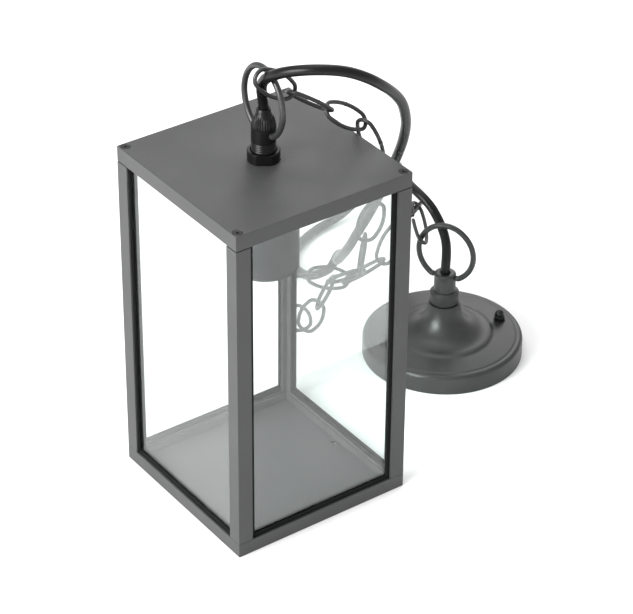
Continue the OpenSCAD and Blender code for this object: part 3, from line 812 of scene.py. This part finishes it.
@dataclass
class Roof:
    """The folded roof tray and its four countersunk screws."""

    half: float = 80 * MM
    top: float = 294 * MM
    sheet: float = 2 * MM
    skirt_h: float = 13 * MM
    skirt: float = 1.5 * MM
    hole_r: float = 10.2 * MM
    screw_in: float = 5 * MM
    head_r: float = 3.7 * MM
    shank_r: float = 1.9 * MM
    edge: float = 0.8 * MM

    def corners(self) -> list[Vector]:
        """Middle of each roof screw, at the height of the roof's top."""
        reach = self.half - self.screw_in
        return [Vector((x * reach, y * reach, self.top)) for x in (-1, 1) for y in (-1, 1)]

    def tray(self) -> bpy.types.Object:
        """The tray: a plate with a skirt folded down all round."""
        foot = self.top - self.skirt_h
        outline = [(self.half, self.top), (0, self.top), (0, foot), (self.skirt, foot),
                   (self.skirt, self.top - self.sheet), (self.half, self.top - self.sheet)]
        bm = bmesh.new()
        add_square_ring(bm, outline, self.half, self.edge, closed=False)
        tray = finish_piece(bm, "roof_tray_folded")
        holes = bmesh.new()
        add_ring(holes, [(0, self.top - 4 * MM), (self.hole_r, self.top - 4 * MM),
                         (self.hole_r, self.top + 2 * MM), (0, self.top + 2 * MM)])
        sink = self.head_r + 0.5 * MM
        clear_r = 2.1 * MM
        for at in self.corners():
            place = Matrix.Translation(at)
            add_ring(holes, [(0, -5 * MM), (clear_r, -5 * MM), (clear_r, clear_r - sink),
                             (sink, 0), (sink, 2 * MM), (0, 2 * MM)], steps=48, matrix=place)
        carve(tray, finish_piece(holes, "roof_holes"))
        return tray

    def screws(self) -> bpy.types.Object:
        """Countersunk screws with a cross recess."""
        recess = 0.25 * MM
        body = bmesh.new()
        cuts = bmesh.new()
        turn = Matrix.Rotation(math.radians(24), 4, "Z")
        for at in self.corners():
            place = Matrix.Translation(at) @ turn
            cone = self.head_r - self.shank_r
            outline = [(0, -recess), (self.head_r - 0.2 * MM, -recess),
                       (self.head_r, -recess - 0.2 * MM),
                       (self.shank_r, -recess - cone - 0.2 * MM), (self.shank_r, -17 * MM),
                       (self.shank_r * 0.7, -18 * MM), (0, -18 * MM)]
            add_ring(body, outline, steps=48, matrix=place)
            for spin in (0, 90):
                arm = bmesh.new()
                bmesh.ops.create_cube(arm, size=1.0)
                bmesh.ops.scale(arm, vec=(4.6 * MM, 0.95 * MM, 3.4 * MM), verts=arm.verts)
                for v in arm.verts:
                    if v.co.z < 0:
                        v.co.x *= 0.45
                        v.co.y *= 0.7
                merge_into(cuts, arm, place @ Matrix.Rotation(math.radians(spin), 4, "Z"))
        screws = finish_piece(body, "roof_screw_set")
        carve(screws, finish_piece(cuts, "recesses"), 25.0, crossed=True)
        return screws

    def build(self, wardrobe: Wardrobe) -> None:
        """Build and dress the roof."""
        wardrobe.dress(flatten_shading(self.tray()), ["roof_tray"], "roof")
        wardrobe.dress(self.screws(), ["roof_screws"], "roof")


@dataclass
class Gland:
    """The cable gland: collar, body and ribbed cap that tapers onto the cord."""

    roof: float = 294 * MM
    collar_r: float = 12.7 * MM
    collar_h: float = 8.5 * MM
    flat: float = 11.2 * MM
    flat_turn: float = 55.0
    body_r: float = 9.6 * MM
    body_top: float = 321.5 * MM
    thread_r: float = 9.9 * MM
    cap_top: float = 338 * MM
    cap_top_r: float = 5.4 * MM
    bore_r: float = 4.4 * MM
    ribs: int = 30
    rib_depth: float = 0.45 * MM
    pin_z: float = 318.2 * MM
    pin_hole_r: float = 2.08 * MM

    def collar(self) -> bpy.types.Object:
        """The lock ring on the roof, with two flats for a spanner."""
        r, z0, z1 = self.collar_r, self.roof, self.roof + self.collar_h
        c = 0.8 * MM
        bore = self.body_r + 0.05 * MM
        bm = bmesh.new()
        add_ring(bm, [(bore, z0), (r - c / 2, z0), (r, z0 + c / 2), (r, z1 - c), (r - c, z1),
                      (self.body_r + 0.9 * MM, z1), (bore, z1 - c)], closed=True)
        collar = finish_piece(bm, "gland_lock_ring")
        cuts = bmesh.new()
        for side in (0, 180):
            turn = Matrix.Rotation(math.radians(self.flat_turn + side), 4, "Z")
            add_block(cuts, Vector((self.flat, -r, z0 - 2 * MM)),
                      Vector((self.flat + r, r, z1 + 2 * MM)), 0.1 * MM, turn)
        carve(collar, finish_piece(cuts, "flats"))
        return collar

    def body(self) -> bpy.types.Object:
        """The threaded body, with its pin holes."""
        r, z0, z1 = self.body_r, self.roof, self.body_top
        outline = [(self.bore_r, z0 - 10 * MM), (self.thread_r, z0 - 10 * MM),
                   (self.thread_r, z0), (r, z0)]
        pitch, count = 1.5 * MM, 5
        start = z0 + self.collar_h + 0.8 * MM
        for i in range(count):
            z = start + i * pitch
            outline += [(r, z), (r - 0.5 * MM, z + pitch * 0.5)]
        outline += [(r, start + count * pitch), (r, z1 - 0.3 * MM), (r - 0.3 * MM, z1),
                    (self.bore_r + 2 * MM, z1), (self.bore_r + 2 * MM, z1 - 3 * MM),
                    (self.bore_r, z1 - 3 * MM)]
        bm = bmesh.new()
        add_ring(bm, outline, closed=True)
        body = finish_piece(bm, "gland_threaded_body")
        holes = bmesh.new()
        for side in (1, -1):
            bmesh.ops.create_cone(holes, cap_ends=True, segments=32, radius1=self.pin_hole_r,
                                  radius2=self.pin_hole_r, depth=6 * MM,
                                  matrix=Matrix.Translation((0, side * 9.2 * MM, self.pin_z))
                                  @ Matrix.Rotation(math.radians(90), 4, "X"))
        carve(body, finish_piece(holes, "pin_holes"))
        return body

    def cap(self) -> bpy.types.Object:
        """The domed cap with fine upright ribs."""
        bm = bmesh.new()
        made = bmesh.ops.create_circle(bm, segments=self.ribs * 4, radius=self.bore_r + 2 * MM)
        ring = made["verts"]
        levels = [(self.body_r - 0.4 * MM, 0.0, 0.0), (self.body_r, 0.4 * MM, 1.0)]
        height = self.cap_top - self.body_top
        neck = 4.2 * MM
        taper = self.body_r - self.cap_top_r - 1.1 * MM
        for i in range(9):
            t = i / 8
            z = MM + t * (height - neck - MM)
            r = self.body_r - taper * (1 - math.cos(t * math.pi / 2)) ** 0.9
            levels.append((r, z, 1.0 if t < 0.8 else 0.25))
        levels += [(self.cap_top_r + 0.6 * MM, height - neck + 0.9 * MM, 0.0),
                   (self.cap_top_r + 0.3 * MM, height - 0.6 * MM, 0.0),
                   (self.cap_top_r - 0.2 * MM, height, 0.0), (self.bore_r, height, 0.0),
                   (self.bore_r, 8 * MM, 0.0), (self.bore_r + 2 * MM, 8 * MM, 0.0)]
        bmesh.ops.translate(bm, vec=(0, 0, self.body_top), verts=ring)
        first = list(bm.edges)
        edges = first
        for radius, z, ribbed in levels:
            pushed = bmesh.ops.extrude_edge_only(bm, edges=edges)["geom"]
            ring = [g for g in pushed if isinstance(g, BMVert)]
            edges = [g for g in pushed if isinstance(g, bmesh.types.BMEdge)]
            for v in ring:
                angle = math.atan2(v.co.y, v.co.x)
                wave = 0.5 - 0.5 * math.cos(angle * self.ribs)
                r = radius - self.rib_depth * ribbed * wave
                v.co = Vector((r * math.cos(angle), r * math.sin(angle), self.body_top + z))
        bmesh.ops.bridge_loops(bm, edges=edges + first)
        return finish_piece(bm, "gland_ribbed_cap", 40.0)

    def build(self, wardrobe: Wardrobe) -> None:
        """Build and dress the gland."""
        wardrobe.dress(self.collar(), ["gland_collar"], "roof")
        wardrobe.dress(self.body(), ["gland_body"], "roof")
        wardrobe.dress(self.cap(), ["gland_cap"], "roof")


# ------------------------------------------------------------------ bent wire


@dataclass
class Wire:
    """A round wire that is drawn out along arcs and straight runs."""

    radius: float
    sides: int = 20
    bm: BMesh = field(default_factory=bmesh.new)
    ring: list = field(default_factory=list)

    def start(self, at: Vector, along: Vector) -> None:
        """Begin with a circle at a point, square to a direction."""
        turn = along.to_track_quat("Z", "Y").to_matrix().to_4x4()
        made = bmesh.ops.create_circle(self.bm, segments=self.sides, radius=self.radius,
                                       matrix=Matrix.Translation(at) @ turn)
        verts = made["verts"]
        edges = list({e for v in verts for e in v.link_edges})
        self.ring = verts + edges

    def arc(self, centre: Vector, axis: Vector, angle: float, steps: int) -> None:
        """Carry the circle round an axis."""
        made = bmesh.ops.spin(self.bm, geom=self.ring, cent=centre, axis=axis,
                              dvec=(0, 0, 0), angle=angle, steps=steps, use_merge=False,
                              use_duplicate=False)
        self.ring = made["geom_last"]

    def run(self, by: Vector) -> None:
        """Carry the circle straight on."""
        edges = [g for g in self.ring if isinstance(g, bmesh.types.BMEdge)]
        self.ring = bmesh.ops.extrude_edge_only(self.bm, edges=edges)["geom"]
        self.ring = [g for g in self.ring if not isinstance(g, bmesh.types.BMFace)]
        bmesh.ops.translate(self.bm, vec=by, verts=self.verts())

    def verts(self) -> list[BMVert]:
        """The corners of the present circle."""
        return [g for g in self.ring if isinstance(g, BMVert)]

    def swell(self, factor: float) -> None:
        """Scale the present circle about its own middle."""
        verts = self.verts()
        middle = sum((v.co for v in verts), Vector()) / len(verts)
        for v in verts:
            v.co = middle + (v.co - middle) * factor

    def close(self) -> None:
        """Put a rounded end on the present circle."""
        self.swell(0.8)
        edges = [g for g in self.ring if isinstance(g, bmesh.types.BMEdge)]
        bmesh.ops.holes_fill(self.bm, edges=edges, sides=0)


@dataclass
class Oval:
    """An oval of two end arcs and two flatter side arcs, long along X, in the XY plane."""

    half_l: float
    half_w: float
    end_r: float

    def __post_init__(self) -> None:
        """Work out where the arcs meet."""
        bulge = self.half_w - self.end_r
        self.reach = self.half_l - self.end_r
        self.offset = (self.reach**2 - bulge**2) / (2 * bulge)
        self.side_r = self.half_w + self.offset
        self.join = math.atan2(self.offset, self.reach)


@dataclass
class Chain:
    """Oval welded links and the open hook link."""

    outer_l: float = 46.4 * MM
    outer_w: float = 22 * MM
    wire: float = 1.6 * MM
    end_r: float = 7 * MM
    gap: float = 4 * MM
    weld_swell: float = 1.12
    points: tuple[tuple[int, int, int], ...] = (
        (-13, -12, 374), (18, -11, 350), (50, -13, 326), (83, -14, 305), (96, -15, 268),
        (96, -16, 229), (95, -4, 192), (98, 7, 155), (94, 37, 130), (95, 58, 97), (94, 76, 63),
        (108, 112, 58), (124, 146, 66), (158, 155, 50), (191, 149, 35), (215, 129, 57),
        (236, 126, 90), (231, 103, 119), (213, 72, 108))
    rolls: tuple[int, ...] = (90, 160, 50, 155, 140, 35, 110, 20, 130, 65, 160, 85, 160, 75, 170,
                              45, 25, 130)

    def oval(self) -> Oval:
        """The middle line of a link."""
        return Oval(self.outer_l / 2 - self.wire, self.outer_w / 2 - self.wire, self.end_r)

    def placement(self, index: int) -> Matrix:
        """Where a link lies: along the chain, rolled about its own length."""
        start, end = (Vector(p) * MM for p in self.points[index:index + 2])
        along = (end - start).normalized()
        level = Vector((-along.y, along.x, 0)).normalized()
        up = along.cross(level)
        roll = math.radians(self.rolls[index])
        across = level * math.cos(roll) + up * math.sin(roll)
        matrix = Matrix((along, across, along.cross(across))).transposed().to_4x4()
        return Matrix.Translation((start + end) / 2) @ matrix

    def link(self, index: int) -> bpy.types.Object:
        """A closed link with a weld bead in the middle of one side."""
        o, wire = self.oval(), Wire(self.wire)
        z = Vector((0, 0, 1))
        side = Vector((0, -o.offset, 0))
        bead = math.radians(1.3)
        half_turn = math.pi / 2 - o.join - bead
        wire.start(Vector((0, o.half_w, 0)), Vector((-1, 0, 0)))
        wire.swell(self.weld_swell)
        wire.arc(side, z, bead, 2)
        wire.swell(1 / self.weld_swell)
        wire.arc(side, z, half_turn, 8)
        wire.arc(Vector((-o.reach, 0, 0)), z, 2 * o.join, 22)
        wire.arc(-side, z, math.pi - 2 * o.join, 16)
        wire.arc(Vector((o.reach, 0, 0)), z, 2 * o.join, 22)
        wire.arc(side, z, half_turn, 8)
        wire.arc(side, z, bead, 2)
        wire.swell(self.weld_swell)
        wire.bm.transform(self.placement(index))
        bmesh.ops.remove_doubles(wire.bm, verts=wire.bm.verts, dist=2e-6)
        return finish_piece(wire.bm, f"chain_link_{index + 1:02d}", 60.0)

    def hook(self) -> bpy.types.Object:
        """The last link, with a gap in one side."""
        o, wire = self.oval(), Wire(self.wire)
        z = Vector((0, 0, 1))
        side = Vector((0, -o.offset, 0))
        skip = math.asin(self.gap / 2 / o.side_r)
        first = math.pi / 2 - skip - o.join
        at = Matrix.Rotation(skip, 4, "Z") @ Vector((0, o.side_r, 0)) + side
        along = Matrix.Rotation(skip, 4, "Z") @ Vector((-1, 0, 0))
        wire.start(at, along)
        start_ring = [g for g in wire.ring if isinstance(g, bmesh.types.BMEdge)]
        bmesh.ops.holes_fill(wire.bm, edges=start_ring, sides=0)
        wire.arc(side, z, first, 8)
        wire.arc(Vector((-o.reach, 0, 0)), z, 2 * o.join, 22)
        wire.arc(-side, z, math.pi - 2 * o.join, 16)
        wire.arc(Vector((o.reach, 0, 0)), z, 2 * o.join, 22)
        wire.arc(side, z, first, 8)
        wire.close()
        wire.bm.transform(self.placement(len(self.points) - 2))
        return finish_piece(wire.bm, "chain_hook_link", 60.0)

    def build(self, wardrobe: Wardrobe) -> None:
        """Build and dress the chain."""
        for index in range(len(self.points) - 2):
            name = f"link_{index + 1:02d}"
            wardrobe.dress(self.link(index), [name], name)
        wardrobe.dress(self.hook(), ["hook_link"], "hook_link")


@dataclass
class HangingLoop:
    """An oval wire loop whose two turned-in ends are its hinge pins."""

    node: str
    half_w: float
    half_h: float
    pivot: Vector
    turn_deg: float
    inner: float
    wire: float = 2.4 * MM
    pin: float = 2.0 * MM
    foot: float = 12.2 * MM
    bulge: float = 3 * MM
    tight: float = 3 * MM

    def build(self, wardrobe: Wardrobe) -> None:
        """Bend the wire: pin, foot, side, top, side, foot and pin."""
        end_r = self.half_w - self.bulge
        o = Oval(self.half_h, self.half_w, end_r)
        drop = end_r * math.cos(math.asin(self.foot / end_r))
        middle = drop + o.reach
        x = Vector((1, 0, 0))
        low, high = Vector((0, 0, drop)), Vector((0, 0, middle + o.reach))
        right, left = Vector((0, -o.offset, middle)), Vector((0, o.offset, middle))
        foot = math.acos((drop - self.tight) / (end_r - self.tight))
        inner_y = (end_r - self.tight) * math.sin(foot)
        over = foot > o.join
        if over:
            span = o.side_r - self.tight
            foot = math.acos((middle - self.tight) / span)
            inner_y = span * math.sin(foot) - o.offset
        wire = Wire(self.pin, 24)
        wire.start(Vector((0, self.inner, 0)), Vector((0, 1, 0)))
        edges = [g for g in wire.ring if isinstance(g, bmesh.types.BMEdge)]
        bmesh.ops.holes_fill(wire.bm, edges=edges, sides=0)
        shoulder, taper = 9.9 * MM, 0.3 * MM
        run = max(inner_y - shoulder - taper, 0.1 * MM)
        wire.run(Vector((0, inner_y - run - taper - self.inner, 0)))
        wire.run(Vector((0, taper, 0)))
        wire.swell(self.wire / self.pin)
        wire.run(Vector((0, run, 0)))
        side_turn = math.pi - 2 * o.join if not over else math.pi - o.join - foot
        wire.arc(Vector((0, inner_y, self.tight)), x, foot, 6)
        if not over:
            wire.arc(low, x, o.join - foot, 4)
        wire.arc(right, x, side_turn, 26)
        wire.arc(high, x, 2 * o.join, 32)
        wire.arc(left, x, side_turn, 26)
        if not over:
            wire.arc(low, x, o.join - foot, 4)
        wire.arc(Vector((0, -inner_y, self.tight)), x, foot, 6)
        wire.run(Vector((0, run, 0)))
        wire.run(Vector((0, taper, 0)))
        wire.swell(self.pin / self.wire)
        wire.run(Vector((0, inner_y - run - taper - self.inner, 0)))
        wire.close()
        turn = Matrix.Rotation(math.radians(self.turn_deg - 90), 4, "Z")
        wire.bm.transform(Matrix.Translation(self.pivot) @ turn)
        piece = finish_piece(wire.bm, self.node + "_wire", 60.0)
        wardrobe.dress(piece, [self.node], self.node)


# ------------------------------------------------------------------ lampholder


@dataclass
class Lampholder:
    """The spun cup under the roof, and the thread shell in its socket."""

    cup_r: float = 26.5 * MM
    wall: float = 1.2 * MM
    mouth: float = 201 * MM
    top: float = 292 * MM
    hole_r: float = 10.1 * MM
    shell_r: float = 13.1 * MM
    shell_wall: float = 0.6 * MM
    shell_z: tuple[float, float] = (210 * MM, 243 * MM)
    turns: int = 7

    def cup(self) -> bpy.types.Object:
        """The cup, with a rounded shoulder and a rolled rim."""
        r, w, z0, z1 = self.cup_r, self.wall, self.mouth, self.top
        shoulder = 3 * MM
        outline = [(self.hole_r, z1), *round_corner((r - shoulder, z1 - shoulder), shoulder, 90, 0),
                   (r, z0 + 2.4 * MM), (r - 0.25 * MM, z0 + 2.0 * MM), (r, z0 + 1.6 * MM),
                   (r, z0 + 0.5 * MM), (r - 0.4 * MM, z0), (r - w, z0), (r - w, z1 - shoulder),
                   *round_corner((r - shoulder, z1 - shoulder), shoulder - w, 0, 90),
                   (self.hole_r, z1 - w)]
        bm = bmesh.new()
        add_ring(bm, outline, closed=True)
        return finish_piece(bm, "holder_spun_cup")

    def shell(self) -> bpy.types.Object:
        """The thread shell with rolled round threads."""
        z0, z1 = self.shell_z
        depth, steps = 0.5 * MM, 12 * self.turns
        span = z1 - z0 - 3 * MM
        inner = [(self.shell_r + depth / 2 - depth / 2 * math.cos(i / 12 * math.tau),
                  z0 + MM + span * i / steps) for i in range(steps + 1)]
        outer = [(self.shell_r + self.shell_wall, z1), (self.shell_r + self.shell_wall, z0)]
        outline = inner + [(self.shell_r, z1)] + outer
        bm = bmesh.new()
        add_ring(bm, outline, closed=True, steps=72)
        return finish_piece(bm, "lamp_thread", 50.0)

    def build(self, wardrobe: Wardrobe) -> None:
        """Build and dress the lampholder."""
        wardrobe.dress(self.cup(), ["holder_cup"], "roof")
        wardrobe.dress(self.shell(), ["thread_shell"], "roof")


# ------------------------------------------------------------------ ceiling rose


@dataclass
class Rose:
    """The ceiling rose: canopy, collar, neck, and its two acorn nuts."""

    at: Vector = field(default_factory=lambda: Vector((226 * MM, 55 * MM, 0)))
    turn_deg: float = -16.0
    loop_deg: float = -59.0
    radius: float = 69 * MM
    rim: float = 14 * MM
    rim_round: float = 3.5 * MM
    wall: float = 1.2 * MM
    step_r: float = 42 * MM
    bell_foot: float = 41 * MM
    bell_top: tuple[float, float] = (13.7 * MM, 50 * MM)
    collar_r: float = 12.6 * MM
    collar_top: float = 62 * MM
    neck_r: float = 9.35 * MM
    neck_top: float = 79 * MM
    thread_r: float = 8.1 * MM
    bore_r: float = 4.4 * MM
    fix_r: float = 53 * MM
    nut_z: float = 19.25 * MM
    nut_flats: float = 8.6 * MM

    def place(self) -> Matrix:
        """Where the rose stands and how it is turned."""
        return Matrix.Translation(self.at) @ Matrix.Rotation(math.radians(self.turn_deg), 4, "Z")

    def skin(self, inset: float) -> list[tuple[float, float]]:
        """The outline from the foot of the rim to the crown, moved in by a thickness."""
        t = inset
        rr, land = self.rim_round, self.rim + self.rim_round
        bell_z = land + 3.5 * MM
        top_r, top_z = self.bell_top
        points = [(self.radius - t, 0.0)]
        points += round_corner((self.radius - rr, self.rim), rr - t, 0, 90, 7)
        groove = self.radius - 5.5 * MM
        points += [(groove + 0.9 * MM, land - 0.1 * MM - t), (groove + 0.2 * MM, land - t),
                   (groove - 0.7 * MM, land + 0.4 * MM - t),
                   (groove - 1.8 * MM, land + 0.7 * MM - t),
                   (self.step_r + 3 * MM, land + 1.8 * MM - t),
                   (self.step_r + 1.2 * MM, land + 2.2 * MM - t),
                   (self.step_r, bell_z - 0.6 * MM - t), (self.bell_foot, bell_z - t)]
        for i in range(1, 15):
            a = math.radians(90 * i / 14)
            points.append((
                self.bell_foot - (self.bell_foot - top_r) * math.sin(a) - t * math.sin(a),
                top_z - (top_z - bell_z) * math.cos(a) - t * math.cos(a)))
        return points

    def canopy(self) -> bpy.types.Object:
        """The spun canopy, hollow underneath."""
        top_r, top_z = self.bell_top
        outer = self.skin(0.0) + [(self.thread_r, top_z)]
        inner = [(self.thread_r, top_z - self.wall)] + self.skin(self.wall)[::-1]
        bm = bmesh.new()
        add_ring(bm, outer + inner, closed=True, steps=160, matrix=self.place())
        canopy = finish_piece(bm, "rose_spun_canopy", 55.0)
        holes = bmesh.new()
        stud_hole_r = 2.6 * MM
        for x in (-1, 1):
            at = Matrix.Translation((x * self.fix_r, 0, self.nut_z))
            add_rod(holes, stud_hole_r, 12 * MM, self.place() @ at)
        carve(canopy, finish_piece(holes, "stud_holes"), 55.0)
        return canopy

    def collar(self) -> bpy.types.Object:
        """The turned collar under the neck."""
        r, z0, z1 = self.collar_r, self.bell_top[1], self.collar_top
        bm = bmesh.new()
        outline = [(self.thread_r, z0 + 0.05 * MM), (r - 0.9 * MM, z0 + 0.05 * MM),
                   (r - 0.9 * MM, z0 + 0.9 * MM), (r - 0.3 * MM, z0 + MM), (r, z0 + 1.4 * MM),
                   (r, z1 - 2.4 * MM), (r - 0.3 * MM, z1 - 1.9 * MM),
                   (self.neck_r + 0.9 * MM, z1), (self.thread_r, z1)]
        add_ring(bm, outline, closed=True, matrix=self.place())
        return finish_piece(bm, "rose_turned_collar", 25.0)

    def neck(self) -> bpy.types.Object:
        """The neck that holds the loop, with a chamfered top."""
        r, z1, c = self.neck_r, self.neck_top, 1.4 * MM
        bm = bmesh.new()
        low, stem_r = 38 * MM, 8 * MM
        foot = self.collar_top + 0.01 * MM
        outline = [(self.bore_r, low), (stem_r, low), (stem_r, foot), (r, foot), (r, z1 - c),
                   (r - 0.2 * MM, z1 - c + 0.4 * MM), (r - c, z1 - 0.1 * MM),
                   (r - c - 0.3 * MM, z1), (self.bore_r + 0.4 * MM, z1),
                   (self.bore_r, z1 - 0.4 * MM)]
        add_ring(bm, outline, closed=True, matrix=self.place())
        neck = finish_piece(bm, "rose_turned_neck", 25.0)
        holes = bmesh.new()
        turn = Matrix.Rotation(math.radians(self.loop_deg), 4, "Z")
        for side in (1, -1):
            pin = (Matrix.Translation(self.at) @ turn
                   @ Matrix.Translation((side * 9.2 * MM, 0, 75.4 * MM))
                   @ Matrix.Rotation(math.radians(90), 4, "Y"))
            add_rod(holes, 2.08 * MM, 6 * MM, pin)
        carve(neck, finish_piece(holes, "pin_holes"), 25.0)
        return neck

    def nuts(self) -> bpy.types.Object:
        """Two acorn nuts: a chamfered hexagon with a dome."""
        bm = bmesh.new()
        hex_r = self.nut_flats / math.sqrt(3)
        z0, z1, dome = self.nut_z, self.nut_z + 4 * MM, 3.9 * MM
        for x in (-1, 1):
            place = self.place() @ Matrix.Translation((x * self.fix_r, 0, 0))
            angles = [math.radians(60 * i + 12) for i in range(6)]
            corners = [(hex_r * math.cos(a), hex_r * math.sin(a)) for a in angles]
            add_bar(bm, corners, z0, z1, 0.35 * MM, place)
            outline = [(dome, z1 - 0.3 * MM), (dome, z1 + 1.5 * MM),
                       *round_corner((0, z1 + 1.5 * MM), dome, 8, 88, 10),
                       (0.0, z1 + 1.5 * MM + dome)]
            add_ring(bm, outline, steps=40, matrix=place)
            washer = [(2.6 * MM, z0 - 0.9 * MM), (5.2 * MM, z0 - 0.9 * MM),
                      (5.4 * MM, z0 - 0.7 * MM), (5.4 * MM, z0 - 0.15 * MM), (5.2 * MM, z0),
                      (2.6 * MM, z0)]
            add_ring(bm, washer, closed=True, steps=40, matrix=place)
        return finish_piece(bm, "acorn_nut_pair", 25.0)

    def build(self, wardrobe: Wardrobe) -> None:
        """Build and dress the rose."""
        wardrobe.dress(self.canopy(), ["rose_canopy"], "rose")
        wardrobe.dress(self.collar(), ["rose_collar"], "rose")
        wardrobe.dress(self.neck(), ["rose_neck"], "rose")
        wardrobe.dress(self.nuts(), ["acorn_nuts"], "rose")


# ------------------------------------------------------------------ whole object


def main() -> None:
    """Build everything in order."""
    logging.basicConfig(level=logging.INFO, format="%(name)s: %(message)s")
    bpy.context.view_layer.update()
    Studio().build()
    wardrobe = Wardrobe()
    Cord().build(wardrobe)
    Case().build(wardrobe)
    Roof().build(wardrobe)
    Gland().build(wardrobe)
    bail_pins = Vector((0, 0, 318.2 * MM))
    HangingLoop("lantern_bail", 25 * MM, 28.5 * MM, bail_pins, 90.0, 6.4 * MM).build(wardrobe)
    Chain().build(wardrobe)
    Lampholder().build(wardrobe)
    Rose().build(wardrobe)
    loop_pins = Vector((226 * MM, 55 * MM, 75.4 * MM))
    HangingLoop("rose_loop", 24.6 * MM, 26.74 * MM, loop_pins, -59.0,
                6.4 * MM, bulge=2.4 * MM).build(wardrobe)
    wardrobe.dress_rest()


if __name__ == "__main__":
    main()
